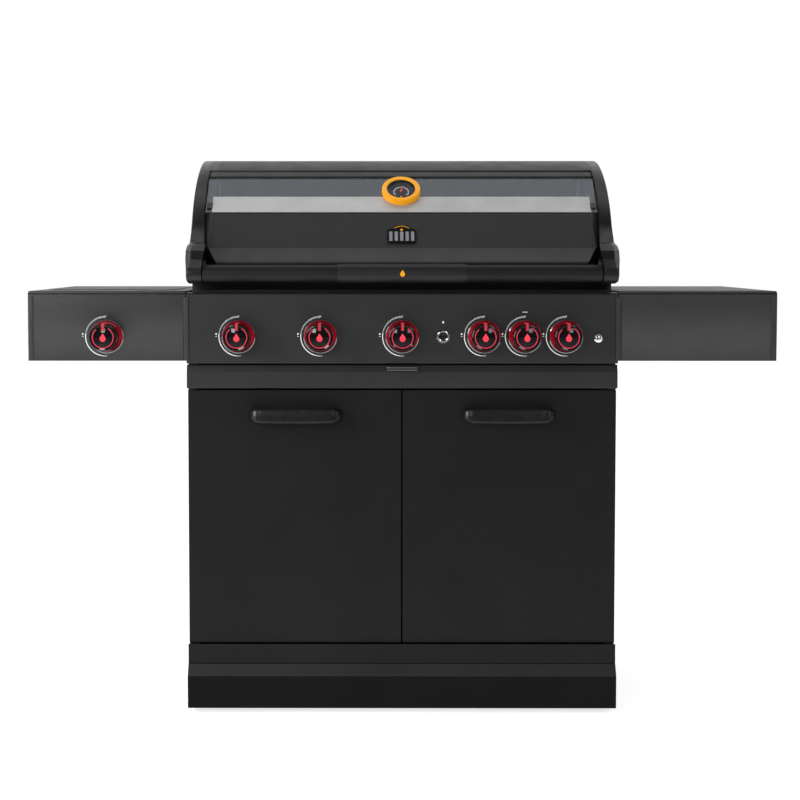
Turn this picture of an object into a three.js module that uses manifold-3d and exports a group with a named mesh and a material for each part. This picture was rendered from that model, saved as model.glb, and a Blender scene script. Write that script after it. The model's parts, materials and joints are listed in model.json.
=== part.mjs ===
// Gas barbecue grill on a closed cabinet, with five main burners, a rear burner, two side
// shelves and a side burner under a cover in the left one.
//
// Millimetres, +Z up. The front faces -Y and +X is to the right of a person standing there.
// The origin is on the ground, under the centre of the grill's bounding box.

import * as THREE from 'three';
import { mergeVertices } from 'three/addons/utils/BufferGeometryUtils.js';
import Module from 'manifold-3d';

const wasm = await Module();
wasm.setup();

// ---------------------------------------------------------------- driving dimensions

const WIDTH = 1650;            // over both side shelves
const DEPTH = 606;             // from the knobs' faces to the shelves' back edges
const LID_TOP = 1245;          // top of the closed lid
const KNOB_REACH = 58;         // knob face to control panel
const GAP = 0.3;               // between pieces that touch

const FRONT = -DEPTH / 2 + KNOB_REACH;      // front face of the control panel and the shelves
const BACK = DEPTH / 2;                     // back edge of the shelves

const CABINET_HALF = 476;      // half the cabinet's width
const SHELF_TOP = 938;
const SHELF_BOTTOM = 784;
const PANEL_TOP = 934;
const PANEL_BOTTOM = 778;
const TRAY_TOP = 775;          // upper edge of the grease tray's front
const TRAY_BOTTOM = 723;
const DOOR_TOP = 718.5;
const DOOR_BOTTOM = 152.5;
const SILL_TOP = 150.5;        // front lip of the cabinet floor
const BACK_TOP = 900;          // cabinet's back wall, which also covers the firebox
const FLOOR_BOTTOM = 107;
const PLINTH_BOTTOM = 11;
const PLINTH_SHOULDER = 83;    // where the plinth's slope meets its upright face

const KNOB_HEIGHT = 838;
const KNOB_PITCH = 180.4;      // main knobs, and the burners behind them
const REAR_KNOB_X = 1.5 * KNOB_PITCH;
const BUTTON_X = 0.5 * KNOB_PITCH;
const SOCKET_X = 432;
const SIDE_BURNER_X = -651;
const MAIN_BURNERS = [-2, -1, 0, 1, 2].map((i) => i * KNOB_PITCH);

const SHEET = 2;               // folded steel sheet
const FIREBOX_HALF = 470;
const FIREBOX_FRONT = -178;
const FIREBOX_BACK = 245;
const FIREBOX_TOP = 953.5;
const FIREBOX_WALL = 4;

const LID_HINGE = [250, 975];  // Y and Z of the lid's hinge line
const CAP_OUTER = 479.5;       // outer face of the lid's end caps
const CAP_INNER = 446.5;
const CAP_BOTTOM = 954;
const HANDLE = [-262, 977.5];  // Y and Z of the lid handle's centre line
const HANDLE_RADIUS = 18.5;

const CASTER_X = 405;
const CASTER_Y = [-188, 210];
const WHEEL_RADIUS = 37.5;
const CASTER_TRAIL = 22;       // wheel axle behind the swivel axis

const DOOR_HINGE_X = 466;
const DOOR_FRONT = -233;
const DOOR_BACK = -215;
const DOOR_HINGE_Y = -225;

// ---------------------------------------------------------------- finishes

const FINISHES = {
  blackCoat: { color: 0x2b2c2e, roughness: 0.55, metalness: 0.2 },
  blackCast: { color: 0x18191a, roughness: 0.4, metalness: 0.2 },
  blackPlastic: { color: 0x101011, roughness: 0.35, metalness: 0 },
  rubber: { color: 0x161616, roughness: 0.8, metalness: 0 },
  steel: { color: 0xb4b6b8, roughness: 0.3, metalness: 1 },
  chrome: { color: 0xd8dadc, roughness: 0.12, metalness: 1 },
  castIron: { color: 0x242425, roughness: 0.75, metalness: 0.4 },
  amber: { color: 0xf2a51c, roughness: 0.35, metalness: 0 },
  glass: { color: 0x6a7078, roughness: 0.05, metalness: 0 },
  ceramic: { color: 0xc9b59c, roughness: 0.9, metalness: 0 },
  knobRed: { color: 0x8c0f1c, roughness: 0.2, metalness: 0 },
  needleRed: { color: 0xd8445a, roughness: 0.4, metalness: 0 },
};

// ---------------------------------------------------------------- solids

const CYCLE = {
  x: new THREE.Matrix4().set(0, 0, 1, 0, 1, 0, 0, 0, 0, 1, 0, 0, 0, 0, 0, 1),
  y: new THREE.Matrix4().set(0, 1, 0, 0, 0, 0, 1, 0, 1, 0, 0, 0, 0, 0, 0, 1),
  z: new THREE.Matrix4(),
};

function solidOf(geometry) {
  geometry.deleteAttribute('normal');
  geometry.deleteAttribute('uv');
  const merged = mergeVertices(geometry, 1e-4);
  return new wasm.Manifold(new wasm.Mesh({
    numProp: 3,
    vertProperties: new Float32Array(merged.attributes.position.array),
    triVerts: new Uint32Array(merged.index.array),
  }));
}

function geometryOf(solid) {
  const mesh = solid.getMesh();
  const geometry = new THREE.BufferGeometry();
  geometry.setAttribute('position', new THREE.BufferAttribute(mesh.vertProperties, 3));
  geometry.setIndex(new THREE.BufferAttribute(mesh.triVerts, 1));
  geometry.computeVertexNormals();
  return geometry;
}

function join(...solids) {
  return solids.reduce((sum, solid) => sum.add(solid));
}

function cut(solid, ...tools) {
  return tools.reduce((rest, tool) => rest.subtract(tool), solid);
}

function box([x0, x1], [y0, y1], [z0, z1]) {
  const geometry = new THREE.BoxGeometry(x1 - x0, y1 - y0, z1 - z0);
  geometry.translate((x0 + x1) / 2, (y0 + y1) / 2, (z0 + z1) / 2);
  return solidOf(geometry);
}

// A prism along an axis. Outline points are (Y, Z) along x, (X, Z) along y and (X, Y) along z.
function prism(axis, outline, [from, to]) {
  const points = outline.map(([a, b]) => (
    axis === 'y' ? new THREE.Vector2(b, a) : new THREE.Vector2(a, b)));
  const geometry = new THREE.ExtrudeGeometry(new THREE.Shape(points), {
    depth: to - from, bevelEnabled: false,
  });
  geometry.translate(0, 0, from);
  geometry.applyMatrix4(CYCLE[axis]);
  return solidOf(geometry);
}

// A rod along an axis through (a, b), which are the other two coordinates in X, Y, Z order.
function rod(axis, [a, b], radius, [from, to], segments = 16) {
  return prism(axis, arc([a, b], radius, 0, 360, segments).slice(1), [from, to]);
}

function arc([x, y], radius, fromDegrees, toDegrees, steps) {
  return Array.from({ length: steps + 1 }, (_, i) => {
    const angle = THREE.MathUtils.degToRad(fromDegrees + ((toDegrees - fromDegrees) * i) / steps);
    return [x + radius * Math.cos(angle), y + radius * Math.sin(angle)];
  });
}

// The path moved sideways, to its left.
function offset(path, distance) {
  const normals = path.slice(1).map(([x, y], i) => {
    const length = Math.hypot(x - path[i][0], y - path[i][1]);
    return [(path[i][1] - y) / length, (x - path[i][0]) / length];
  });
  return path.map(([x, y], i) => {
    const [ax, ay] = normals[Math.max(i - 1, 0)];
    const [bx, by] = normals[Math.min(i, normals.length - 1)];
    const reach = distance / (1 + ax * bx + ay * by);
    return [x + (ax + bx) * reach, y + (ay + by) * reach];
  });
}

// The closed outline of a bent sheet: path is one face, and the sheet lies on the path's left.
function bentSheet(path, thickness) {
  return [...path, ...offset(path, thickness).reverse()];
}

// A turned solid about +Z from (radius, height) points that start and end on the axis.
function turned(profile, segments) {
  const points = profile.map(([radius, height]) => new THREE.Vector2(radius, height));
  const geometry = new THREE.LatheGeometry(points, segments);
  geometry.rotateX(Math.PI / 2);
  return solidOf(geometry);
}

// The same shape on the other side of the grill.
function mirrored(geometry) {
  const copy = geometry.clone().scale(-1, 1, 1);
  const index = copy.index.array;
  for (let i = 0; i < index.length; i += 3) {
    [index[i], index[i + 1]] = [index[i + 1], index[i]];
  }
  copy.computeVertexNormals();
  return copy;
}

// ---------------------------------------------------------------- scene graph

const grill = new THREE.Group();

function addGeometry(parent, name, finish, geometry) {
  const mesh = new THREE.Mesh(geometry, new THREE.MeshStandardMaterial(FINISHES[finish]));
  mesh.name = name;
  parent.add(mesh);
  return mesh;
}

function add(parent, name, finish, solid) {
  return addGeometry(parent, name, finish, geometryOf(solid));
}

function addPair(parent, name, finish, rightSolid) {
  const right = geometryOf(rightSolid);
  addGeometry(parent, `${name}_right`, finish, right);
  addGeometry(parent, `${name}_left`, finish, mirrored(right));
}

function groupAt(parent, x, y, z) {
  const group = new THREE.Group();
  group.position.set(x, y, z);
  parent.add(group);
  return group;
}

// ---------------------------------------------------------------- cabinet

const SIDE_FRONT = -209;       // clear of the doors' swing
const CABINET_BACK = 272;
const SIDE_TOP = 930;

// Folded side wall with the grease tray's runner and the two brackets of the door hinge.
function cabinetSide() {
  const outer = CABINET_HALF;
  const inner = outer - SHEET;
  const fold = 20;
  const back = CABINET_BACK - SHEET - GAP;
  const wall = prism('z', bentSheet([[outer - fold, SIDE_FRONT], [outer, SIDE_FRONT], [outer, back],
    [outer - fold, back]], SHEET), [FLOOR_BOTTOM + 3 + GAP, SIDE_TOP]);
  const runner = box([430, outer - 1], [-200, 180], [TRAY_BOTTOM, TRAY_BOTTOM + 2.6]);
  const bracket = (z) => cut(
    box([DOOR_HINGE_X - 9, inner], [DOOR_HINGE_Y - 7, SIDE_FRONT + 1], [z, z + 2.4]),
    rod('z', [DOOR_HINGE_X, DOOR_HINGE_Y], 3.5, [z - 1, z + 4]),
  );
  return join(wall, runner, bracket(DOOR_BOTTOM - 4), bracket(DOOR_TOP + 1.6));
}

function cabinetFloor() {
  const width = [-CABINET_HALF + 0.5, CABINET_HALF - 0.5];
  const top = FLOOR_BOTTOM + 3;
  const plate = box(width, [-239, CABINET_BACK], [FLOOR_BOTTOM, top]);
  const sill = box([-CABINET_HALF, CABINET_HALF], [-240, -237], [FLOOR_BOTTOM + 0.5, SILL_TOP]);
  const pads = [-1, 1].flatMap((side) => CASTER_Y.map((y) => {
    const x = side * CASTER_X;
    return box([x - 36, x + 36], [y - 36, y + 36], [FLOOR_BOTTOM - 3, FLOOR_BOTTOM + 0.1]);
  }));
  const stemHoles = [-1, 1].flatMap((side) => CASTER_Y.map((y) =>
    rod('z', [side * CASTER_X, y], 6.5, [FLOOR_BOTTOM - 5, top + 1])));
  return cut(join(plate, sill, ...pads), ...stemHoles);
}

// Back wall with a row of vent slots.
function cabinetBack() {
  const half = CABINET_HALF - 4;
  const wall = box([-half, half], [CABINET_BACK - SHEET, CABINET_BACK], [FLOOR_BOTTOM + 3 + GAP, BACK_TOP]);
  const slots = [-3, -2, -1, 1, 2, 3].map((column) =>
    box([column * 120 - 40, column * 120 + 40], [CABINET_BACK - 5, CABINET_BACK + 5], [640, 652]));
  return cut(wall, ...slots);
}

// Skirt round the front and both sides that hides the casters.
function plinth() {
  const top = FLOOR_BOTTOM - GAP;
  const path = [[-242, top], [-258, PLINTH_SHOULDER], [-258, PLINTH_BOTTOM]];
  const face = prism('x', bentSheet(path, SHEET), [-CABINET_HALF, CABINET_HALF]);
  const sideOutline = [[-240, top - 1], [-256.8, PLINTH_SHOULDER], [-256.8, PLINTH_BOTTOM + 1],
    [CABINET_BACK, PLINTH_BOTTOM + 1], [CABINET_BACK, top - 1]];
  const side = (x) => prism('x', sideOutline, [x, x + SHEET]);
  return join(face, side(-CABINET_HALF + 0.5), side(CABINET_HALF - SHEET - 0.5));
}

// Pan door with its hinge pins, drawn as the right-hand one.
function door() {
  const [inner, outer] = [1.5, 474.5];
  const skin = box([inner, outer], [DOOR_FRONT, DOOR_BACK], [DOOR_BOTTOM, DOOR_TOP]);
  const pocket = box([inner + 22, outer - 22], [DOOR_FRONT + 2.5, DOOR_BACK + 1],
    [DOOR_BOTTOM + 22, DOOR_TOP - 22]);
  const pin = (z) => rod('z', [DOOR_HINGE_X, DOOR_HINGE_Y], 3, z, 12);
  return join(cut(skin, pocket), pin([DOOR_BOTTOM - 5, DOOR_BOTTOM + 5]),
    pin([DOOR_TOP - 5, DOOR_TOP + 4.2]));
}

// Bow handle on the door's upper inner corner, drawn as the right-hand one.
function doorHandle() {
  const [left, right] = [133, 337];
  const face = DOOR_FRONT - GAP;
  const grip = box([left + 0.5, right - 0.5], [face - 36, face - 22], [645, 680]);
  const post = (x) => box([x, x + 20], [face - 35.5, face], [647, 678]);
  return join(grip, post(left), post(right - 20));
}

function addCabinet() {
  const cabinet = groupAt(grill, 0, 0, 0);
  addPair(cabinet, 'cabinet_side', 'blackCoat', cabinetSide());
  add(cabinet, 'cabinet_floor', 'blackCoat', cabinetFloor());
  add(cabinet, 'cabinet_back', 'blackCoat', cabinetBack());
  add(cabinet, 'plinth', 'blackCoat', plinth());
  addPair(cabinet, 'door', 'blackCoat', door());
  addPair(cabinet, 'door_handle', 'blackPlastic', doorHandle());
}

// ---------------------------------------------------------------- casters

// Origins: the fork's is on its swivel axis at the ground, the wheel's is its own centre.
function casterFork() {
  const top = FLOOR_BOTTOM - 3 - GAP;
  const legInner = 14.5;
  const crown = rod('z', [0, 0], 20, [top - 5, top], 12);
  const bridge = box([-17.5, 17.5], [-12, 24], [top - 14, top - 4]);
  const stem = rod('z', [0, 0], 6, [top - 4, top + 7], 8);
  const leg = (x) => prism('x', [[-8, top - 13], [24, top - 13], [CASTER_TRAIL + 9, WHEEL_RADIUS - 8],
    [CASTER_TRAIL - 9, WHEEL_RADIUS - 8]], [x, x + 3]);
  const axle = rod('x', [CASTER_TRAIL, WHEEL_RADIUS], 4, [-17, 17], 8);
  const wheelRoom = rod('x', [CASTER_TRAIL, WHEEL_RADIUS], WHEEL_RADIUS + 2.5, [-legInner, legInner], 14);
  return join(cut(join(crown, bridge, stem, leg(-17.5), leg(14.5)), wheelRoom), axle);
}

function casterWheel() {
  const hubBore = 4.5;
  const tyre = turned([[0, -11], [WHEEL_RADIUS - 3, -11], [WHEEL_RADIUS, -7], [WHEEL_RADIUS, 7],
    [WHEEL_RADIUS - 3, 11], [0, 11]], 20);
  return cut(tyre, rod('z', [0, 0], hubBore, [-20, 20], 10));
}

function addCasters() {
  const fork = geometryOf(casterFork());
  const wheel = geometryOf(casterWheel());
  [['front', CASTER_Y[0]], ['rear', CASTER_Y[1]]].forEach(([end, y]) => {
    [['left', -CASTER_X], ['right', CASTER_X]].forEach(([side, x]) => {
      const caster = groupAt(grill, x, y, 0);
      addGeometry(caster, `caster_fork_${end}_${side}`, 'steel', fork.clone());
      const roller = addGeometry(caster, `caster_wheel_${end}_${side}`, 'rubber', wheel.clone());
      roller.position.set(0, CASTER_TRAIL, WHEEL_RADIUS);
      roller.rotation.y = Math.PI / 2;
    });
  });
}

// ---------------------------------------------------------------- grease tray

function greaseTray() {
  const front = prism('x', bentSheet([[-234, TRAY_TOP], [-240, 759], [-240, TRAY_BOTTOM]], SHEET),
    [-CABINET_HALF, CABINET_HALF]);
  const bottom = TRAY_BOTTOM + 3;
  const pan = cut(
    box([-426, 426], [-239, 160], [bottom, bottom + 31]),
    box([-424, 424], [-237, 158], [bottom + SHEET, bottom + 40]),
  );
  const pull = prism('x', bentSheet([[-251, 764], [-251, 770], [-233.5, 772]], SHEET), [-35, 35]);
  return join(front, pan, pull);
}

// ---------------------------------------------------------------- control panel

function controlPanel() {
  const bend = arc([FRONT + 6, PANEL_TOP - 6], 6, 90, 180, 4);
  const path = [[-184, PANEL_TOP], ...bend, [FRONT, PANEL_BOTTOM], [FRONT + 30, PANEL_BOTTOM]];
  const shell = prism('x', bentSheet(path, SHEET), [-CABINET_HALF, CABINET_HALF]);
  const stemHoles = [...MAIN_BURNERS, REAR_KNOB_X].map((x) =>
    rod('y', [x, KNOB_HEIGHT], 6, [FRONT - 5, FRONT + 5], 8));
  const buttonHole = rod('y', [BUTTON_X, KNOB_HEIGHT], 13, [FRONT - 5, FRONT + 5], 14);
  const socketHole = rod('y', [SOCKET_X, KNOB_HEIGHT - 4], 7.6, [FRONT - 5, FRONT + 5], 8);
  return cut(shell, ...stemHoles, buttonHole, socketHole);
}

// Chrome ring round the ignition button, seated in the panel.
function buttonCollar() {
  const bore = 8.4;
  const flange = rod('y', [0, 0], 15, [-4, -GAP], 24);
  const neck = rod('y', [0, 0], 12.6, [-1, 14], 20);
  return cut(join(flange, neck), rod('y', [0, 0], bore, [-10, 20], 20));
}

function ignitionButton() {
  return join(rod('y', [0, 0], 8, [-6, 12], 20), rod('y', [0, 0], 9.8, [14.4, 17], 20),
    rod('y', [0, 0], 6, [11, 15], 12));
}

// Domed quick-connect socket with a slot across its face.
function panelSocket() {
  const dome = turned([[0, -12], [6.5, -12], [6.5, GAP], [10.5, GAP], [9.5, 3.5], [6, 6], [0, 7]], 20);
  return cut(dome, box([-8, 8], [-1, 1], [5, 9]));
}

// Knob about +Z with its back towards the panel and a bore for the valve stem.
function knob() {
  const body = turned([[0, 1], [36.5, 1], [36.5, 10], [30.5, 18], [29.5, KNOB_REACH - 5],
    [25, KNOB_REACH], [0, KNOB_REACH]], 20);
  return cut(body, rod('z', [0, 0], 4.6, [0, 24], 8));
}

function addControls() {
  const controls = groupAt(grill, 0, FRONT, KNOB_HEIGHT);
  addGeometry(grill, 'control_panel', 'blackCoat', geometryOf(controlPanel()));
  const shape = geometryOf(knob());
  const knobs = { knob_rear: REAR_KNOB_X, knob_side: SIDE_BURNER_X };
  MAIN_BURNERS.forEach((x, i) => {
    knobs[`knob_main_${i + 1}`] = x;
  });
  Object.entries(knobs).forEach(([name, x]) => {
    const mesh = addGeometry(controls, name, 'knobRed', shape.clone());
    mesh.position.x = x;
    mesh.rotation.x = Math.PI / 2;
  });
  add(controls, 'button_collar', 'chrome', buttonCollar()).position.x = BUTTON_X;
  add(controls, 'ignition_button', 'blackPlastic', ignitionButton()).position.x = BUTTON_X;
  const socket = add(controls, 'panel_socket', 'chrome', panelSocket());
  socket.position.set(SOCKET_X, 0, -4);
  socket.rotation.x = Math.PI / 2;
}

// Valve with its stem, from the pipe side at the back to the knob's bore at the front.
function valve(x) {
  return [
    rod('y', [x, KNOB_HEIGHT], 12, [FRONT + 8, -196], 8),
    rod('y', [x, KNOB_HEIGHT], 4, [FRONT - 22, FRONT + 9], 8),
    rod('y', [x, KNOB_HEIGHT], 4, [-197, -186.5], 6),
  ];
}

// Pipe behind the panel that feeds every valve, with the threaded gas inlet at its right end.
function gasManifold() {
  const pipe = rod('x', [-208, KNOB_HEIGHT], 9, [-385, 412], 8);
  const inletNut = rod('x', [-208, KNOB_HEIGHT], 13, [412, 424], 6);
  const inletTube = rod('x', [-208, KNOB_HEIGHT], 7, [424, 440], 10);
  return join(pipe, inletNut, inletTube, ...[...MAIN_BURNERS, REAR_KNOB_X].flatMap(valve));
}

// ---------------------------------------------------------------- firebox and what it holds

const GRATE_REST = 915;
const TAMER_REST = 872;
const BURNER_RADIUS = 12;
const INNER_FRONT = FIREBOX_FRONT + FIREBOX_WALL;
const INNER_BACK = FIREBOX_BACK - FIREBOX_WALL;
const PIN_END = CAP_OUTER - 5; // outer end of the lid's hinge pins

// Open-topped tub whose floor falls to a drain in the middle, over the grease tray.
function firebox() {
  const tub = (half, top, shoulder, drain) => [[-half, top], [-half, shoulder], [-60, drain], [60, drain],
    [half, shoulder], [half, top]];
  const outer = prism('y', tub(FIREBOX_HALF, FIREBOX_TOP, 812, 768), [FIREBOX_FRONT, FIREBOX_BACK]);
  const hollow = prism('y', tub(FIREBOX_HALF - FIREBOX_WALL, FIREBOX_TOP + 9, 816, 772),
    [INNER_FRONT, INNER_BACK]);
  const drain = box([-50, 50], [-70, 70], [760, 780]);
  const burnerHoles = MAIN_BURNERS.map((x) =>
    rod('y', [x, KNOB_HEIGHT], BURNER_RADIUS + 2, [FIREBOX_FRONT - 1, INNER_FRONT + 1], 8));
  const ledges = [[GRATE_REST, 14], [TAMER_REST, 12]].flatMap(([z, depth]) => [
    box([-FIREBOX_HALF + 1, FIREBOX_HALF - 1], [INNER_FRONT - 1, INNER_FRONT + depth], [z - 5, z]),
    box([-FIREBOX_HALF + 1, FIREBOX_HALF - 1], [INNER_BACK - depth, INNER_BACK + 1], [z - 5, z]),
  ]);
  const burnerRest = box([-400, 400], [196, INNER_BACK + 1], [820, KNOB_HEIGHT - BURNER_RADIUS - GAP]);
  const rearWall = box([-432, 432], [INNER_BACK, FIREBOX_BACK], [FIREBOX_TOP - 5, 1050]);
  const rackRests = [-1, 1].map((side) => box(
    [side * 458 - 10, side * 458 + 10], [118, INNER_BACK + 1], [944, 949]));
  return join(cut(outer, hollow, drain, ...burnerHoles), ...ledges, burnerRest, rearWall, ...rackRests,
    hingeBracket(-1), hingeBracket(1));
}

// Upright at the firebox's rear corner with the pin that the lid turns on.
function hingeBracket(side) {
  const span = (a, b) => [Math.min(side * a, side * b), Math.max(side * a, side * b)];
  const [y, z] = LID_HINGE;
  const upright = prism('x', [[INNER_BACK + 1, 935], [y + 2, 935], [y + 12, 950],
    ...arc([y, z], 12, 0, 180, 6), [y - 12, FIREBOX_TOP + 3], [INNER_BACK + 1, FIREBOX_TOP - 1]],
  span(438, CAP_INNER - GAP));
  return join(upright, rod('x', LID_HINGE, 5, span(439, PIN_END), 12));
}

function cookingGrate() {
  const [half, front, back] = [154, INNER_FRONT + 1, INNER_BACK - 1];
  const bars = 12;
  const pitch = (2 * half - 12) / (bars - 1);
  const rods = Array.from({ length: bars }, (_, i) => {
    const x = -half + 6 + i * pitch;
    return box([x - 4, x + 4], [front + 9, back - 9], [GRATE_REST + 2, GRATE_REST + 14]);
  });
  const rails = [front, back - 10].map((y) =>
    box([-half, half], [y, y + 10], [GRATE_REST + GAP, GRATE_REST + 13]));
  return join(...rods, ...rails);
}

// Open-mouthed tube with a closed far end.
function tubeBurner() {
  const [mouth, end, wall] = [-185.5, 206, 1.5];
  const bore = rod('y', [0, 0], BURNER_RADIUS - wall, [mouth - 1, end - 6], 10);
  return cut(rod('y', [0, 0], BURNER_RADIUS, [mouth, end], 10), bore);
}

function flameTamer() {
  const path = [[48, TAMER_REST + GAP], [0, TAMER_REST + 28], [-48, TAMER_REST + GAP]];
  return prism('y', bentSheet(path, -SHEET).map(([x, z]) => [x, z - TAMER_REST]),
    [INNER_FRONT + 1, INNER_BACK - 1]);
}

// Infrared burner in its frame on the back wall.
function rearBurner() {
  const frame = box([-230, 230], [INNER_BACK - 26, INNER_BACK - GAP], [985, 1045]);
  const recess = box([-222, 222], [INNER_BACK - 30, INNER_BACK - 18], [993, 1037]);
  return cut(frame, recess);
}

function warmingRack() {
  const [front, back, half] = [125, 200, 462];
  const height = [1062, 1066];
  const wires = Array.from({ length: 5 }, (_, i) => {
    const y = front + ((back - 4 - front) * i) / 4;
    return box([-half + 3, half - 3], [y, y + 4], [height[0] + 0.5, height[1] + 0.5]);
  });
  const ends = [-half, half - 4].map((x) => box([x, x + 4], [front, back], height));
  const feet = [-half, half - 4].flatMap((x) => [front, back - 4].map((y) =>
    box([x, x + 4], [y, y + 4], [949 + GAP, height[0] + 1])));
  return join(...wires, ...ends, ...feet);
}

function addFirebox() {
  const bodywork = groupAt(grill, 0, 0, 0);
  add(bodywork, 'firebox', 'blackCast', firebox());
  add(bodywork, 'gas_manifold', 'steel', gasManifold());
  add(bodywork, 'grease_tray', 'blackCoat', greaseTray());
  add(bodywork, 'rear_burner', 'ceramic', rearBurner());
  add(bodywork, 'warming_rack', 'steel', warmingRack());
  const grate = geometryOf(cookingGrate());
  ['left', 'middle', 'right'].forEach((place, i) => {
    addGeometry(bodywork, `cooking_grate_${place}`, 'castIron', grate.clone()).position.x = (i - 1) * 310;
  });
  const tube = geometryOf(tubeBurner());
  const tamer = geometryOf(flameTamer());
  MAIN_BURNERS.forEach((x, i) => {
    addGeometry(bodywork, `burner_${i + 1}`, 'steel', tube.clone()).position.set(x, 0, KNOB_HEIGHT);
    addGeometry(bodywork, `flame_tamer_${i + 1}`, 'steel', tamer.clone()).position.set(x, 0, TAMER_REST);
  });
}

// ---------------------------------------------------------------- side shelves

const SHELF_INNER = CABINET_HALF + 1;
const WELL_HALF = [142, 187];  // half the side burner's opening, across and deep
const WELL_Y = 20;
const COVER_HINGE = [197.5, 931.5];
const COVER_LOW = SHELF_TOP - 2;
const COVER_TOP = SHELF_TOP + 1.5;

// Downturned shelf, drawn as the right-hand one.
function shelf() {
  const outer = WIDTH / 2;
  return cut(
    box([SHELF_INNER, outer], [FRONT, BACK], [SHELF_BOTTOM, SHELF_TOP]),
    box([SHELF_INNER + SHEET, outer - SHEET], [FRONT + SHEET, BACK - SHEET],
      [SHELF_BOTTOM - 5, SHELF_TOP - SHEET]),
  );
}

// Left shelf, with the opening for the side burner and the hole for its knob's stem.
function burnerShelf() {
  const well = box([SIDE_BURNER_X - WELL_HALF[0], SIDE_BURNER_X + WELL_HALF[0]],
    [WELL_Y - WELL_HALF[1], WELL_Y + WELL_HALF[1]], [SHELF_TOP - 5, SHELF_TOP + 5]);
  const stemHole = rod('y', [SIDE_BURNER_X, KNOB_HEIGHT], 6, [FRONT - 5, FRONT + 5], 12);
  return cut(solidOf(mirrored(geometryOf(shelf()))), well, stemHole);
}

// Pan with the burner's head, its feed tube and valve, a front rest for the cover and holes for its pins.
function sideBurner() {
  const x = SIDE_BURNER_X;
  const [halfX, halfY] = WELL_HALF.map((half) => half + 5);
  const top = SHELF_TOP - SHEET - GAP;
  const pan = cut(
    box([x - halfX, x + halfX], [WELL_Y - halfY, WELL_Y + halfY], [880, top]),
    box([x - halfX + SHEET, x + halfX - SHEET], [WELL_Y - halfY + SHEET, WELL_Y + halfY - SHEET],
      [882, top + 5]),
    rod('x', COVER_HINGE, 2.1, [x - halfX - 1, x + halfX + 1], 12),
  );
  const head = rod('z', [x, WELL_Y], 45, [881, 905], 20);
  const pedestal = rod('z', [x, WELL_Y], 16, [KNOB_HEIGHT, 882], 12);
  const feed = rod('y', [x, KNOB_HEIGHT], 11, [-200, WELL_Y + 10], 12);
  const frontWall = WELL_Y - halfY + SHEET;
  const rest = box([x - 60, x + 60], [frontWall - 1, frontWall + 8], [COVER_LOW - 5, COVER_LOW - GAP]);
  return join(pan, head, pedestal, feed, rest, ...valve(x).slice(0, 2));
}

// Pan support: a square frame on four feet with four fingers over the flame.
function sideTrivet() {
  const x = SIDE_BURNER_X;
  const half = 100;
  const [low, high] = [922, 930];
  const frame = cut(
    box([x - half, x + half], [WELL_Y - half, WELL_Y + half], [low, high]),
    box([x - half + 7, x + half - 7], [WELL_Y - half + 7, WELL_Y + half - 7], [low - 5, high + 5]),
  );
  const feet = [-half, half - 7].flatMap((dx) => [-half, half - 7].map((dy) =>
    box([x + dx, x + dx + 7], [WELL_Y + dy, WELL_Y + dy + 7], [882 + GAP, low + 1])));
  const fingers = [
    box([x - half, x - 25], [WELL_Y - 3, WELL_Y + 3], [low, high]),
    box([x + 25, x + half], [WELL_Y - 3, WELL_Y + 3], [low, high]),
    box([x - 3, x + 3], [WELL_Y - half, WELL_Y - 25], [low, high]),
    box([x - 3, x + 3], [WELL_Y + 25, WELL_Y + half], [low, high]),
  ];
  return join(frame, ...feet, ...fingers);
}

// Flat cover that lies flush in the shelf's opening, on two barrels whose pins sit in the pan's sides.
function sideBurnerCover() {
  const x = SIDE_BURNER_X;
  const half = WELL_HALF[0] - 1.5;
  const [front, back] = [WELL_Y - WELL_HALF[1] + 1.5, COVER_HINGE[0] - 5];
  const plate = cut(
    box([x - half, x + half], [front, back], [COVER_LOW, COVER_TOP]),
    box([x - half + SHEET, x + half - SHEET], [front + SHEET, back - SHEET],
      [COVER_LOW - 5, COVER_TOP - SHEET]),
  );
  const barrel = (side) => {
    const span = (a, b) => [x + Math.min(side * a, side * b), x + Math.max(side * a, side * b)];
    return join(
      box(span(116, 134), [back - 1.5, COVER_HINGE[0]], [COVER_HINGE[1] - 1.5, COVER_LOW + 1]),
      rod('x', COVER_HINGE, 3.2, span(116, 138), 12),
      rod('x', COVER_HINGE, 1.8, span(137, WELL_HALF[0] + 4.5), 12),
    );
  };
  return join(plate, barrel(-1), barrel(1));
}

function addShelves() {
  const shelves = groupAt(grill, 0, 0, 0);
  add(shelves, 'shelf_right', 'blackCoat', shelf());
  add(shelves, 'shelf_left', 'blackCoat', burnerShelf());
  add(shelves, 'side_burner', 'steel', sideBurner());
  add(shelves, 'side_trivet', 'castIron', sideTrivet());
  add(shelves, 'side_burner_cover', 'blackCoat', sideBurnerCover());
}

// ---------------------------------------------------------------- lid

const WINDOW_TOP = [-36, 1198];      // edges of the glass's outer face, as Y and Z
const WINDOW_BOTTOM = [-131, 1113];
const GLASS = 5;
const CREASE = [-193, 1033];
const SHELL = 3;

// Front half of the lid's upper curve, from its highest point down to the handle's shoulder.
function crown(steps) {
  const curve = new THREE.CubicBezierCurve(new THREE.Vector2(135, LID_TOP), new THREE.Vector2(60, LID_TOP),
    new THREE.Vector2(-130, 1195), new THREE.Vector2(-180, 1052));
  return curve.getPoints(steps).map((point) => [point.x, point.y]);
}

// Back of the lid, from low at the hinge up to the highest point.
function rear(steps, low) {
  const curve = new THREE.CubicBezierCurve(new THREE.Vector2(274, low), new THREE.Vector2(276, 1120),
    new THREE.Vector2(245, LID_TOP), new THREE.Vector2(135, LID_TOP));
  return curve.getPoints(steps).map((point) => [point.x, point.y]);
}

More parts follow.
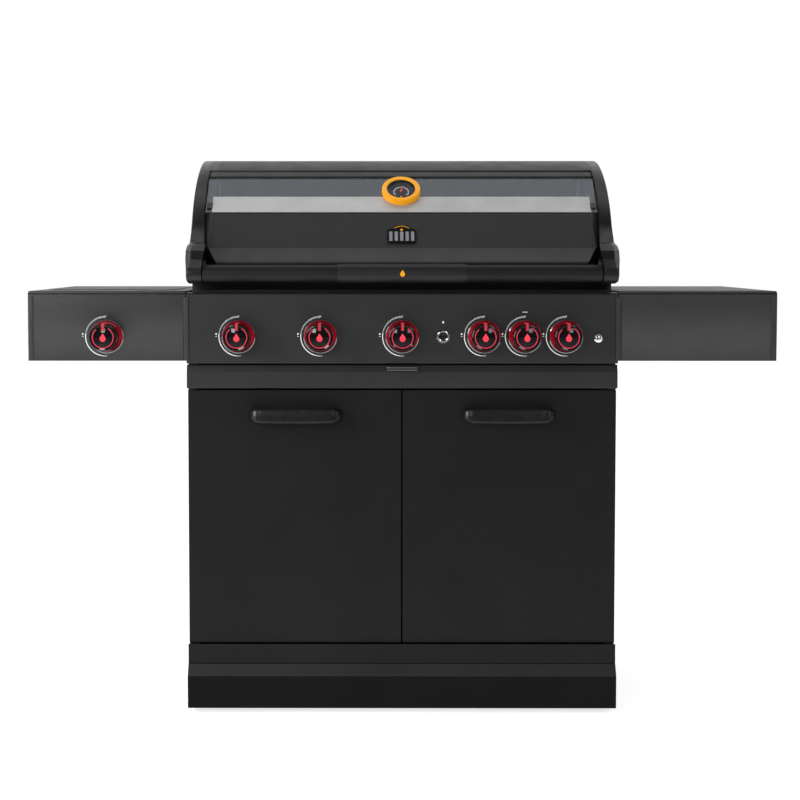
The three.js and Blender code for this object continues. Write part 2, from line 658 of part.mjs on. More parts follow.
// A point on the glass's outer face, up from its lower edge, and sunk below that face.
function onWindow(up, sunk) {
  const [dy, dz] = [WINDOW_TOP[0] - WINDOW_BOTTOM[0], WINDOW_TOP[1] - WINDOW_BOTTOM[1]];
  const length = Math.hypot(dy, dz);
  return [
    WINDOW_BOTTOM[0] + (dy * up + dz * sunk) / length,
    WINDOW_BOTTOM[1] + (dz * up - dy * sunk) / length,
  ];
}
const WINDOW_HEIGHT = Math.hypot(WINDOW_TOP[0] - WINDOW_BOTTOM[0], WINDOW_TOP[1] - WINDOW_BOTTOM[1]);
const WINDOW_TILT = Math.atan2(WINDOW_TOP[1] - WINDOW_BOTTOM[1], WINDOW_TOP[0] - WINDOW_BOTTOM[0]);

// End cap: outer wall, thick rim, handle ear and hinge boss, drawn as the right-hand one.
function lidCap() {
  const [hy, hz] = LID_HINGE;
  const [gy, gz] = HANDLE;
  const shoulder = [[-206, 1050], [-240, 1043], [-262, 1033], [-274, 1023], [-279.5, 1010], [-283, 990]];
  const boss = arc([gy, gz], 21, 180, 270, 5);
  const outline = [...crown(9), ...shoulder, ...boss, [-240, CAP_BOTTOM], [hy - 14, CAP_BOTTOM],
    ...arc([hy, hz], 24, -90, 0, 4), ...rear(6, hz + 12)];
  const solid = prism('x', outline, [CAP_INNER, CAP_OUTER]);
  const underRim = offset([[274, hz], ...rear(6, hz + 12), ...crown(9).slice(1)], 10);
  const hollow = prism('x', [...underRim, [-200, 1014], [-236, 990], [-236, 930], [290, 930], [290, hz]],
    [CAP_INNER - 1, FIREBOX_HALF + GAP]);
  const hub = rod('x', LID_HINGE, 15, [CAP_INNER + 4, CAP_OUTER - 1], 16);
  const bore = rod('x', LID_HINGE, 5.5, [CAP_INNER - 1, PIN_END + 0.5], 12);
  return cut(join(cut(solid, hollow), hub), bore);
}

// Sheet between the caps: back, top, the sunk frame round the window, front and handle fairing.
function lidShell() {
  const half = CAP_INNER - GAP;
  const path = [...rear(6, 1000), ...crown(9).slice(1).filter(([y]) => y > WINDOW_TOP[0] + 2), WINDOW_TOP,
    onWindow(WINDOW_HEIGHT, GLASS + GAP), onWindow(0, GLASS + GAP), [-134, 1110], CREASE,
    [-243, 998], [-190, 985], [-190, 941]];
  const shell = prism('x', bentSheet(path, SHELL), [-half, half]);
  const opening = prism('x', [onWindow(10, -5), onWindow(WINDOW_HEIGHT - 10, -5),
    onWindow(WINDOW_HEIGHT - 10, 15), onWindow(10, 15)], [-425, 425]);
  return cut(shell, opening);
}

function lidGlass() {
  return prism('x', [onWindow(GAP, 0), onWindow(WINDOW_HEIGHT - GAP, 0),
    onWindow(WINDOW_HEIGHT - GAP, GLASS), onWindow(GAP, GLASS)], [-CAP_INNER + 1, CAP_INNER - 1]);
}

// Gauge about +Z: case with a sunk dial, and the probe that passes through the glass.
const GAUGE_RADIUS = 44;
const DIAL_RADIUS = 32.5;
const DIAL_HEIGHT = 7;
const CASE_HEIGHT = 15;
const GAUGE_UP = 69;           // centre above the window's lower edge, along the glass
const NEEDLE_TURN = -0.26;     // resting angle from twelve o'clock

function gaugeCase() {
  return turned([[0, -40], [4, -40], [4, GAP], [GAUGE_RADIUS - 1, GAP], [GAUGE_RADIUS, 3],
    [GAUGE_RADIUS, CASE_HEIGHT - 2], [GAUGE_RADIUS - 2, CASE_HEIGHT], [DIAL_RADIUS, CASE_HEIGHT],
    [DIAL_RADIUS, DIAL_HEIGHT], [0, DIAL_HEIGHT]], 24);
}

function gaugeNeedle() {
  const low = DIAL_HEIGHT + GAP;
  return join(rod('z', [0, 0], 3, [low, low + 2.5], 12),
    prism('z', [[-1.4, -7], [1.4, -7], [0.8, 19], [-0.8, 19]], [low + 0.8, low + 1.8]));
}

function lidBadge() {
  const archedTop = arc([0, -63], 83, 66.5, 113.5, 8);
  return prism('z', [[-33, -29], [33, -29], [33, 13], ...archedTop, [-33, 13]], [GAP, 2.8]);
}

function addLid() {
  const lid = groupAt(grill, 0, 0, 0);
  add(lid, 'lid_shell', 'blackCoat', lidShell());
  addPair(lid, 'lid_cap', 'blackCast', lidCap());
  const gauge = groupAt(lid, 0, ...onWindow(GAUGE_UP, 0));
  gauge.rotation.x = WINDOW_TILT;
  gauge.updateMatrix();
  const bore = geometryOf(rod('z', [0, 0], 5, [-20, 20], 12)).applyMatrix4(gauge.matrix);
  add(lid, 'lid_glass', 'glass', cut(lidGlass(), solidOf(bore)));
  add(gauge, 'gauge_case', 'amber', gaugeCase());
  add(gauge, 'gauge_needle', 'needleRed', gaugeNeedle()).rotation.z = NEEDLE_TURN;

  add(lid, 'lid_handle_bar', 'blackCast',
    rod('x', HANDLE, HANDLE_RADIUS, [-CAP_INNER + GAP, CAP_INNER - GAP], 28));
  add(lid, 'lid_grip', 'blackPlastic', cut(rod('x', HANDLE, 20.5, [-141, 141], 28),
    rod('x', HANDLE, HANDLE_RADIUS + 0.4, [-150, 150], 28)));

  const [dy, dz] = [-134 - CREASE[0], 1110 - CREASE[1]];
  const badge = add(lid, 'lid_badge', 'blackPlastic', lidBadge());
  badge.position.set(0, CREASE[0] + dy * 0.48, CREASE[1] + dz * 0.48);
  badge.rotation.x = Math.atan2(dz, dy);
}

addCabinet();
addCasters();
addControls();
addFirebox();
addShelves();
addLid();

export default grill;
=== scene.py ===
import json
import math

import bmesh
import bpy
from mathutils import Matrix, Vector


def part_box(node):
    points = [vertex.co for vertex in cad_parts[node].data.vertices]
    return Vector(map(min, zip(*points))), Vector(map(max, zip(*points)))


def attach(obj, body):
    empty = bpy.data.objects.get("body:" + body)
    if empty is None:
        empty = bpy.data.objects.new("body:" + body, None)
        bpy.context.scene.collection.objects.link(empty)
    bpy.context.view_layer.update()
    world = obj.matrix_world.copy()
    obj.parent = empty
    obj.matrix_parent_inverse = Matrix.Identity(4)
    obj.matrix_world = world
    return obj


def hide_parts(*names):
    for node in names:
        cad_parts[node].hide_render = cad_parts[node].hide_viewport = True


# Looks of the gas barbecue grill. Metres, in the CAD frame: the front faces -Y and +Z is up.

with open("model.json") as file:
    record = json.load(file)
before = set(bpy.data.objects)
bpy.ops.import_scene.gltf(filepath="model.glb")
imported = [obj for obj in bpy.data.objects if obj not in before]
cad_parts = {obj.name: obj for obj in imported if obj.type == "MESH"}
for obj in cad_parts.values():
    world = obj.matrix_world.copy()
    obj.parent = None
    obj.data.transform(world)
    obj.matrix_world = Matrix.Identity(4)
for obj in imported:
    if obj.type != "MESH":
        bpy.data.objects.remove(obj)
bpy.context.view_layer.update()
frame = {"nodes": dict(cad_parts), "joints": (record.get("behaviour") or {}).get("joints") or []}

# ---------- places read from the frame

MIRROR = Matrix.Scale(-1, 4, (1, 0, 0))
JOINTS = {joint["name"]: joint for joint in frame["joints"]}
KNOBS = [*(f"knob_main_{i}" for i in range(1, 6)), "knob_rear", "knob_side"]
CASTERS = ["front_left", "front_right", "rear_left", "rear_right"]

PANEL_LOW, PANEL_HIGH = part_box("control_panel")
FRONT = PANEL_LOW.y                          # front face of the control panel and the shelves
HANDLE_LOW, HANDLE_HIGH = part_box("lid_handle_bar")
HANDLE = Vector((0, (HANDLE_LOW.y + HANDLE_HIGH.y) / 2, (HANDLE_LOW.z + HANDLE_HIGH.z) / 2))
LID_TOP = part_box("lid_shell")[1].z
NEEDLE_PIVOT = Vector(JOINTS["gauge_needle_turn"]["pos_m"])
GLASS_NORMAL = Vector(JOINTS["gauge_needle_turn"]["axis"])
GLASS_UP = GLASS_NORMAL.cross(Vector((1, 0, 0)))
CAP_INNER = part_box("lid_cap_right")[0].x     # faces of the lid's right end cap
CAP_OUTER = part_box("lid_cap_right")[1].x


def centre(node):
    low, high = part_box(node)
    return (low + high) / 2


def facing(origin, x_axis, y_axis):
    """The placement of a piece drawn about its own +Z, with its own X and Y along these axes."""
    x_axis, y_axis = Vector(x_axis), Vector(y_axis)
    rows = zip(x_axis, y_axis, x_axis.cross(y_axis), Vector(origin))
    return Matrix([*map(tuple, rows), (0, 0, 0, 1)])


def front_of(node, aside=0):
    """The place on the front of the panel or shelf at a node's middle, looking at the user."""
    middle = centre(node)
    return facing((middle.x + aside, FRONT, middle.z), (1, 0, 0), (0, 0, 1))


def share(value):
    """The value kept between 0 and 1."""
    return min(1.0, max(0.0, value))


# ---------- outlines

def ellipse(middle, wide, tall, angles):
    """Points at these angles, in degrees, from the first half axis."""
    turns = [math.radians(a) for a in angles]
    return [(middle[0] + wide * math.cos(a), middle[1] + tall * math.sin(a)) for a in turns]


def arc(middle, radius, start, end, steps):
    """Points of an arc, from start to end in degrees."""
    return ellipse(middle, radius, radius, [start + (end - start) * i / steps for i in range(steps + 1)])


def bezier(a, b, c, d, steps):
    """Points of a cubic curve from a to d."""
    points = []
    for i in range(steps + 1):
        t = i / steps
        weights = ((1 - t) ** 3, 3 * t * (1 - t) ** 2, 3 * t * t * (1 - t), t ** 3)
        points.append(tuple(sum(w * p[k] for w, p in zip(weights, (a, b, c, d))) for k in (0, 1)))
    return points


def rounded(path, radius, steps=5, closed=False, least=12):
    """The path with its corners rounded. Bends under the least angle, in degrees, stay as they are."""
    points = [Vector(p) for p in path]
    count = len(points)
    result = []
    for i, corner in enumerate(points):
        if not closed and i in (0, count - 1):
            result.append(tuple(corner))
            continue
        before, after = points[i - 1] - corner, points[(i + 1) % count] - corner
        bend = math.pi - before.angle(after)
        if bend < math.radians(least):
            result.append(tuple(corner))
            continue
        reach = min(radius * math.tan(bend / 2), 0.45 * before.length, 0.45 * after.length)
        start, end = corner + before.normalized() * reach, corner + after.normalized() * reach
        for k in range(steps + 1):
            t = k / steps
            result.append(tuple(start * (1 - t) ** 2 + corner * (2 * t * (1 - t)) + end * t * t))
    return result


def offset(path, distance):
    """The path moved sideways, to its left."""
    points = [Vector(p) for p in path]
    normals = []
    for a, b in zip(points, points[1:]):
        along = (b - a).normalized()
        normals.append(Vector((-along.y, along.x)))
    result = []
    for i, point in enumerate(points):
        before, after = normals[max(i - 1, 0)], normals[min(i, len(normals) - 1)]
        result.append(tuple(point + (before + after) * (distance / (1 + before.dot(after)))))
    return result


def bent_sheet(path, thickness):
    """The closed outline of a folded sheet that lies on the left of the path."""
    return [*path, *reversed(offset(path, thickness))]


def rectangle(low, high):
    return [(low[0], low[1]), (high[0], low[1]), (high[0], high[1]), (low[0], high[1])]


# ---------- meshes

def prism(axis, outline, low, high):
    """A closed prism: the outline is (Y, Z) along x, (X, Z) along y and (X, Y) along z."""
    order = {"x": (2, 0, 1), "y": (0, 2, 1), "z": (0, 1, 2)}[axis]
    bm = bmesh.new()
    ends = []
    for level in (low, high):
        ends.append([bm.verts.new([(a, b, level)[k] for k in order]) for a, b in outline])
    bm.faces.new(reversed(ends[0]))
    bm.faces.new(ends[1])
    for i in range(len(outline)):
        bm.faces.new((ends[0][i - 1], ends[0][i], ends[1][i], ends[1][i - 1]))
    bmesh.ops.recalc_face_normals(bm, faces=bm.faces)
    return bm


def grid(rows, closed=False):
    """A surface through rows of points that all have the same count; closed joins each row's ends."""
    bm = bmesh.new()
    lines = [[bm.verts.new(point) for point in row] for row in rows]
    count = len(lines[0])
    for a, b in zip(lines, lines[1:]):
        for i in range(0 if closed else 1, count):
            bm.faces.new((a[i - 1], a[i], b[i], b[i - 1]))
    return bm, lines


def lathe(profile, segments, ring=False):
    """A turned solid about +Z from (radius, height) points that start and end on the axis, or a ring."""
    steps = [2 * math.pi * i / segments for i in range(segments)]
    inner = profile if ring else profile[1:-1]
    rows = [[(r * math.cos(a), r * math.sin(a), h) for a in steps] for r, h in inner]
    bm, lines = grid([*rows, rows[0]] if ring else rows, closed=True)
    if ring:
        bmesh.ops.remove_doubles(bm, verts=bm.verts, dist=1e-7)
    else:
        for line, (_, height) in ((lines[0], profile[0]), (lines[-1], profile[-1])):
            tip = bm.verts.new((0, 0, height))
            for i in range(segments):
                bm.faces.new((line[i - 1], line[i], tip))
    bmesh.ops.recalc_face_normals(bm, faces=bm.faces)
    return bm


def block(low, high, radius=0.0, segments=3):
    """A box with rounded edges."""
    bm = prism("z", rectangle(low, high), low[2], high[2])
    if radius:
        bmesh.ops.bevel(bm, geom=bm.edges[:], offset=radius, segments=segments,
                        affect="EDGES", profile=0.5)
    return bm


def shell_box(low, high, radius, open_side="bottom"):
    """A folded box without its bottom (or top), as one surface with rounded folds."""
    bm = prism("z", rectangle(low, high), low[2], high[2])
    bm.faces.ensure_lookup_table()
    level = low[2] if open_side == "bottom" else high[2]
    lost = [f for f in bm.faces if all(abs(v.co.z - level) < 1e-6 for v in f.verts)]
    bmesh.ops.delete(bm, geom=lost, context="FACES")
    folds = [e for e in bm.edges if len(e.link_faces) == 2]
    bmesh.ops.bevel(bm, geom=folds, offset=radius, segments=4, affect="EDGES", profile=0.5)
    return bm


def drop(size, low, high, up, aside=0):
    """A plain water drop, size across, between two levels."""
    radius = size / 2
    outline = [*arc((0, 0), radius, -214, 34, 28), (0, radius * 1.80)]
    return moved(prism("z", outline, low, high), Matrix.Translation((aside, up, 0)))


def ink(outline):
    """A printed mark, a tenth of a millimetre thick."""
    return prism("z", outline, 0.00002, 0.00012)


def moved(bm, matrix):
    bmesh.ops.transform(bm, matrix=matrix, verts=bm.verts)
    if matrix.determinant() < 0:
        bmesh.ops.reverse_faces(bm, faces=bm.faces)
    return bm


def mesh_of(bm, name):
    mesh = bpy.data.meshes.new(name)
    bm.to_mesh(mesh)
    bm.free()
    return mesh


def new_object(name, data):
    obj = bpy.data.objects.new(name, data)
    bpy.context.scene.collection.objects.link(obj)
    return obj


def joined(*parts):
    """Several meshes as one; each part's faces take its number as their material's place."""
    whole = bmesh.new()
    for number, part in enumerate(parts):
        for face in part.faces:
            face.material_index = number
        mesh = mesh_of(part, "part")
        whole.from_mesh(mesh)
        bpy.data.meshes.remove(mesh)
    return whole


def joined_plain(*parts):
    """Several meshes as one with one material."""
    whole = joined(*parts)
    for face in whole.faces:
        face.material_index = 0
    return whole


def carved(solid, *tools):
    """The solid with the tools cut away."""
    objects = [new_object("carve", mesh_of(bm, "carve")) for bm in (solid, *tools)]
    for tool in objects[1:]:
        cut = objects[0].modifiers.new("cut", "BOOLEAN")
        cut.object = tool
        cut.solver = "EXACT"
    bpy.context.view_layer.update()
    result = bmesh.new()
    result.from_object(objects[0], bpy.context.evaluated_depsgraph_get())
    for obj in objects:
        mesh = obj.data
        bpy.data.objects.remove(obj)
        bpy.data.meshes.remove(mesh)
    return result


def round_edges(obj, width, segments, facet):
    """Bevels the edges that are sharper than facet, in degrees."""
    edge = obj.modifiers.new("edges", "BEVEL")
    edge.width = width
    edge.segments = segments
    edge.limit_method = "ANGLE"
    edge.angle_limit = math.radians(facet)
    edge.harden_normals = True


def add_piece(name, bm, finishes, body, stands_for=(), place=None,
              bevel=0.0, thickness=0.0, facet=32):
    """Makes a piece that rides on a body. bevel rounds its edges and thickness makes a surface solid."""
    mesh = mesh_of(bm, name)
    for finish in finishes if isinstance(finishes, (list, tuple)) else [finishes]:
        mesh.materials.append(finish.material)
    mesh.polygons.foreach_set("use_smooth", [True] * len(mesh.polygons))
    mesh.set_sharp_from_angle(angle=math.radians(facet))
    obj = new_object(name, mesh)
    if place is not None:
        obj.matrix_world = place
    if thickness:
        solid = obj.modifiers.new("sheet", "SOLIDIFY")
        solid.thickness = thickness
        solid.offset = -1
        solid.use_even_offset = True
    if bevel:
        round_edges(obj, bevel, 3, facet)
    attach(obj, body)
    if stands_for:
        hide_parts(*([stands_for] if isinstance(stands_for, str) else stands_for))
    return obj


def keep_cad(node, finish, bevel=0.0005, facet=38):
    """Keeps a CAD node's own shape, with rounded edges and its finish."""
    obj = frame["nodes"][node]
    mesh = obj.data
    mesh.materials.clear()
    mesh.materials.append(finish.material)
    if "custom_normal" in mesh.attributes:
        mesh.attributes.remove(mesh.attributes["custom_normal"])
    mesh.polygons.foreach_set("use_smooth", [True] * len(mesh.polygons))
    weld = obj.modifiers.new("weld", "WELD")
    weld.merge_threshold = 1e-5
    flat = obj.modifiers.new("flat", "DECIMATE")
    flat.decimate_type = "DISSOLVE"
    flat.angle_limit = math.radians(1)
    round_edges(obj, bevel, 2, facet)


# ---------- finishes

def new_node(nodes, kind, **values):
    """A shader node with these inputs; an underscore in an input's name stands for a space."""
    node = nodes.new(f"ShaderNode{kind}")
    for socket, value in values.items():
        node.inputs[socket.replace("_", " ")].default_value = value
    return node


class Finish:
    """A node material on the piece's own coordinates, in metres."""

    def __init__(self, name, colour, roughness, metallic=0.0, **sockets):
        self.material = bpy.data.materials.new(name)
        self.material.use_nodes = True
        self.nodes = self.material.node_tree.nodes
        self.links = self.material.node_tree.links
        self.shader = self.nodes["Principled BSDF"]
        self.shader.inputs["Base Color"].default_value = (*colour, 1)
        self.shader.inputs["Roughness"].default_value = roughness
        self.shader.inputs["Metallic"].default_value = metallic
        for socket, value in sockets.items():
            self.shader.inputs[socket.replace("_", " ")].default_value = value
        self.coordinates = self.nodes.new("ShaderNodeTexCoord").outputs["Object"]

    def noise(self, scale, detail=2.0, stretch=(1, 1, 1)):
        mapping = new_node(self.nodes, "Mapping", Scale=stretch)
        self.links.new(self.coordinates, mapping.inputs["Vector"])
        texture = new_node(self.nodes, "TexNoise", Scale=scale, Detail=detail)
        self.links.new(mapping.outputs["Vector"], texture.inputs["Vector"])
        return texture.outputs["Fac"]

    def spread(self, factor, low, high):
        """Turns the middle of a noise into values from low to high."""
        node = new_node(self.nodes, "MapRange", From_Min=0.3, From_Max=0.7, To_Min=low, To_Max=high)
        self.links.new(factor, node.inputs["Value"])
        return node.outputs["Result"]

    def vary_roughness(self, factor, low, high):
        self.links.new(self.spread(factor, low, high), self.shader.inputs["Roughness"])

    def vary_colour(self, factor, dark, light, socket="Base Color"):
        mix = self.nodes.new("ShaderNodeMix")
        mix.data_type = "RGBA"
        mix.inputs["A"].default_value = (*dark, 1)
        mix.inputs["B"].default_value = (*light, 1)
        self.links.new(self.spread(factor, 0, 1), mix.inputs["Factor"])
        self.links.new(mix.outputs["Result"], self.shader.inputs[socket])

    def bump(self, factor, height):
        node = new_node(self.nodes, "Bump", Strength=1.0, Distance=height)
        self.links.new(factor, node.inputs["Height"])
        socket = self.shader.inputs["Normal"]
        if socket.is_linked:
            self.links.new(socket.links[0].from_socket, node.inputs["Normal"])
        self.links.new(node.outputs["Normal"], socket)

    def along_y(self, low, high):
        """A node that gives 0 at low and 1 at high along the piece's own Y."""
        split = new_node(self.nodes, "SeparateXYZ")
        self.links.new(self.coordinates, split.inputs["Vector"])
        node = new_node(self.nodes, "MapRange", From_Min=low, From_Max=high)
        self.links.new(split.outputs["Y"], node.inputs["Value"])
        return node


def tinted(colour, factor):
    return tuple(channel * factor for channel in colour)


def mottled(name, colour, roughness, metallic=0.0, spots=None, tones=(1, 1), sheen=None, polish=(0, 0),
            bumps=(), **sockets):
    """A finish whose colour and roughness wander and whose face has fine bumps.

    spots and sheen are the (scale, detail) of the noise in colour and roughness. tones are the darkest
    and the lightest colour, or their shares of the colour. polish is how far the roughness goes down
    and up. Each bump is (scale, detail, height).
    """
    finish = Finish(name, colour, roughness, metallic, **sockets)
    if spots:
        dark, light = (t if isinstance(t, tuple) else tinted(colour, t) for t in tones)
        finish.vary_colour(finish.noise(*spots), dark, light)
    if sheen:
        finish.vary_roughness(finish.noise(*sheen), roughness - polish[0], roughness + polish[1])
    for scale, detail, height in bumps:
        finish.bump(finish.noise(scale, detail), height)
    return finish


def powder_coat(name, colour, roughness, specular=0.5):
    return mottled(name, colour, roughness, spots=(7, 4), tones=(0.88, 1.14), sheen=(22, 5),
                   polish=(0.05, 0.05), bumps=((900, 3, 0.00006), (5, 1, 0.0004)),
                   Specular_IOR_Level=specular)


def matt_plastic(name, colour, roughness):
    return mottled(name, colour, roughness, spots=(30, 3), tones=(0.85, 1.2), sheen=(60, 3),
                   polish=(0.03, 0.03), bumps=((1600, 2, 0.00001),), Specular_IOR_Level=0.45)


def brushed_steel(name, colour, roughness, stretch, metallic=1.0):
    """Steel with a brushed grain across the direction that is stretched most."""
    finish = mottled(name, colour, roughness, metallic, spots=(12, 3), tones=(0.9, 1.08))
    grain = finish.noise(500, 4, stretch)
    finish.vary_roughness(grain, roughness - 0.08, roughness + 0.1)
    finish.bump(grain, 0.00003)
    return finish


def amber():
    """Lacquer with a slight painted glow."""
    finish = mottled("amber_lacquer_painted_glow", (0.97, 0.40, 0.004), 0.34, spots=(45, 3),
                     tones=((0.93, 0.37, 0.003), (1.0, 0.43, 0.006)), sheen=(300, 4), polish=(0.06, 0.08),
                     bumps=((900, 2, 0.00003),), Specular_IOR_Level=0.4, Emission_Strength=0.24)
    # the emission is painted glow, the amber has no lamp
    finish.shader.inputs["Emission Color"].default_value = (1.0, 0.40, 0.0, 1)
    return finish


def glowing(name, colour, glow):
    """A lit plastic line with a slight unevenness along it."""
    finish = mottled(name, colour, 0.3, spots=(220, 2), tones=(0.9, 1), Emission_Strength=1.0)
    finish.vary_colour(finish.noise(160, 3), tinted(glow, 0.86), glow, "Emission Color")
    return finish


def skirt_glow_with_painted_shade():
    """Dark red translucent plastic that glows in its upper half; its dark lower half is painted shade."""
    finish = mottled("red_skirt_glow_painted_shade", (0.10, 0.002, 0.006), 0.12, sheen=(200, 4), polish=(0.04, 0.08),
                     Emission_Strength=1.0)
    ramp = finish.nodes.new("ShaderNodeValToRGB")
    stops = ((0.15, 0.004), (0.45, 0.21), (0.65, 0.18), (0.95, 0.06))    # place and redness; the low redness towards the bottom is painted shade
    for _ in stops[2:]:
        ramp.color_ramp.elements.new(0.5)
    for element, (place, red) in zip(ramp.color_ramp.elements, stops):
        element.position = place
        element.color = (red, red * 0.004, red * 0.030, 1)
    half = 0.036                              # of the skirt's height
    finish.links.new(finish.along_y(-half, half).outputs["Result"], ramp.inputs["Fac"])
    finish.links.new(ramp.outputs["Color"], finish.shader.inputs["Emission Color"])
    return finish


def printed(name, colour, glow=0.0):
    """Ink or paint; glow is painted light that lifts a bright ink that has to read in the shade."""
    finish = mottled(name, colour, 0.5, spots=(500, 4), tones=(0.82, 1), bumps=((1200, 2, 0.00002),),
                     Emission_Strength=glow)
    finish.shader.inputs["Emission Color"].default_value = (*colour, 1)
    return finish


def ceramic():
    """Burner tile with a dense pattern of small holes."""
    finish = mottled("perforated_ceramic", (0.50, 0.38, 0.27), 0.85, spots=(80, 5),
                     tones=((0.38, 0.27, 0.18), (0.60, 0.48, 0.36)))
    cells = new_node(finish.nodes, "TexVoronoi", Scale=330)
    finish.links.new(finish.coordinates, cells.inputs["Vector"])
    finish.bump(cells.outputs["Distance"], 0.0012)
    return finish


COAT = powder_coat("black_powder_coat", (0.0172, 0.0176, 0.0186), 0.47)
SHELF_COAT = powder_coat("black_shelf_coat", (0.034, 0.0345, 0.035), 0.47)
# a darker copy of the black coat: painted shade on the plinth's upright faces
PLINTH_PAINTED_SHADE_COAT = powder_coat("black_plinth_painted_shade_coat", (0.005, 0.0052, 0.0056), 0.50, 0.10)
# a darker copy of the black coat: painted shade on the doors and the cabinet floor
DOOR_PAINTED_SHADE_COAT = powder_coat("black_door_painted_shade_coat", (0.0105, 0.0108, 0.0114), 0.50, 0.17)
INSIDE_COAT = powder_coat("black_enamel", (0.012, 0.012, 0.0125), 0.42)
BAR_COAT = powder_coat("satin_black_bar", (0.014, 0.0142, 0.0148), 0.45, 0.22)
CASTING = mottled("satin_black_casting", (0.008, 0.008, 0.009), 0.34, spots=(15, 3), tones=(0.8, 1.25),
                  sheen=(60, 4), polish=(0.06, 0.06), bumps=((420, 2, 0.00008),),
                  Specular_IOR_Level=0.35)
HANDLE_PLASTIC = matt_plastic("handle_plastic", (0.008, 0.008, 0.009), 0.27)
GRIP_PLASTIC = matt_plastic("grip_plastic", (0.009, 0.009, 0.010), 0.48)
GLOSS = mottled("gloss_black", (0.003, 0.003, 0.0035), 0.07, spots=(90, 3),
                tones=((0.002, 0.002, 0.0025), (0.005, 0.005, 0.006)), sheen=(250, 5), polish=(0.03, 0.04),
                bumps=((70, 1, 0.00003),), Specular_IOR_Level=0.42)
CHROME = mottled("chrome", (0.90, 0.91, 0.93), 0.08, 1.0, spots=(120, 3),
                 tones=((0.84, 0.85, 0.87), (0.93, 0.94, 0.96)), sheen=(400, 5),
                 polish=(0.03, 0.08))
DARK_CHROME = mottled("dark_chrome", (0.30, 0.30, 0.31), 0.22, 1.0, spots=(120, 3),
                      tones=((0.26, 0.26, 0.27), (0.34, 0.34, 0.35)), sheen=(400, 5),
                      polish=(0.07, 0.08))
STAINLESS = brushed_steel("brushed_stainless", (0.60, 0.60, 0.61), 0.32, (0.02, 1, 1))
ZINC = brushed_steel("zinc_plate", (0.50, 0.50, 0.49), 0.38, (1, 1, 0.3))
TRIM = brushed_steel("pale_trim", (0.56, 0.56, 0.555), 0.45, (0.02, 1, 1), 0.3)
PULL_STEEL = brushed_steel("satin_pull_steel", (0.21, 0.21, 0.215), 0.34, (0.02, 1, 1), 0.6)
BADGE_SILVER = brushed_steel("badge_silver", (0.55, 0.56, 0.60), 0.3, (1, 0.05, 1))
IRON = mottled("seasoned_cast_iron", (0.018, 0.018, 0.019), 0.55, spots=(40, 5),
               tones=((0.012, 0.012, 0.013), (0.032, 0.030, 0.029)), sheen=(90, 4), polish=(0.13, 0.13),
               bumps=((350, 4, 0.0003),), Specular_IOR_Level=0.5)
RUBBER = mottled("tyre_rubber", (0.018, 0.018, 0.018), 0.8, spots=(60, 4),
                 tones=((0.013, 0.013, 0.013), (0.028, 0.027, 0.026)), sheen=(150, 4), polish=(0.1, 0.1),
                 bumps=((600, 3, 0.0001),), Specular_IOR_Level=0.3)
# amber lacquer with a painted glow
AMBER_PAINTED_GLOW = amber()
GLASS = mottled("smoked_glass", (0.64, 0.75, 0.88), 0.02, sheen=(40, 4), polish=(0.01, 0.025),
                bumps=((3, 1, 0.0005),), IOR=1.5, Transmission_Weight=1.0)
LENS = mottled("clear_lens", (0.02, 0.02, 0.02), 0.02, sheen=(90, 4), polish=(0.01, 0.02),
               Alpha=0.10)
CERAMIC = ceramic()
RING_GLOW = glowing("lit_ring", (0.4, 0.02, 0.04), (0.52, 0.030, 0.060))
MARK_GLOW = glowing("lit_mark", (0.5, 0.03, 0.05), (0.72, 0.036, 0.066))
POINTER_GLOW = glowing("lit_pointer", (0.3, 0.02, 0.03), (0.38, 0.020, 0.034))
# the skirt's glow is painted dark towards its bottom: painted shade
SKIRT_GLOW_PAINTED_SHADE = skirt_glow_with_painted_shade()
# pale ink with a painted glow
PRINT_PAINTED_GLOW = printed("pale_print_painted_glow", (0.62, 0.65, 0.66), 0.75)
# red needle with a painted glow
NEEDLE_RED_PAINTED_GLOW = printed("needle_red", (0.75, 0.09, 0.13), 0.5)
DIAL = printed("dial_grey", (0.030, 0.038, 0.050))


# ---------- cabinet

def door_handle(side):
    """Moulded bow handle: its ends curve back to the door and its lower edge bulges."""
    low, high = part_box(f"door_handle_{side}")
    middle = (low.x + high.x) / 2
    half = (high.x - low.x) / 2
    turn, foot = 0.026, 0.034                 # lengths of the curved end and of the foot behind it
    steps = 64
    rows = []
    for i in range(steps + 1):
        x = half * math.sin(math.pi / 2 * (-1 + 2 * i / steps))
        curved = share((abs(x) - half + turn) / turn)
        footed = share((abs(x) - half + foot) / 0.006)
        fall = 1 - math.sqrt(1 - curved ** 2)
        top = high.z - 0.0085 * fall
        bottom = low.z + 0.0025 * (x / half) ** 2 + 0.0130 * fall
        front = low.y + 0.0008 + 0.0200 * fall
        back = low.y + 0.0145 + footed * (high.y - low.y - 0.0148)
        outline = rounded([(front + 0.0062, top), (front + 0.0022, top - 0.0050),
                           (front + 0.0008, (top + bottom) / 2), (front, bottom + 0.0050),
                           (front + 0.0050, bottom), (back, bottom + 0.001), (back, top - 0.001)],
                          0.003, 4, closed=True, least=0)
        rows.append([(middle + x, y, z) for y, z in outline])
    bm, lines = grid(rows, closed=True)
    bm.faces.new(reversed(lines[0]))
    bm.faces.new(lines[-1])
    bmesh.ops.recalc_face_normals(bm, faces=bm.faces)
    add_piece(f"door_handle_bow_{side}", bm, HANDLE_PLASTIC, f"door_{side}",
              f"door_handle_{side}", facet=50)


def screw_heads(name, places, outward):
    """Domed screw heads on the cabinet; each stands out along outward at its place."""
    profile = [(0, 0.0002), (0.0042, 0.0002), (0.0042, 0.0008), (0.0034, 0.0018), (0.0018, 0.0023),
               (0, 0.0024)]
    up = Vector((0, 0, 1))
    heads = [moved(lathe(profile, 16), facing(place, up.cross(Vector(outward)), up)) for place in places]
    add_piece(name, joined_plain(*heads), ZINC, "cabinet")


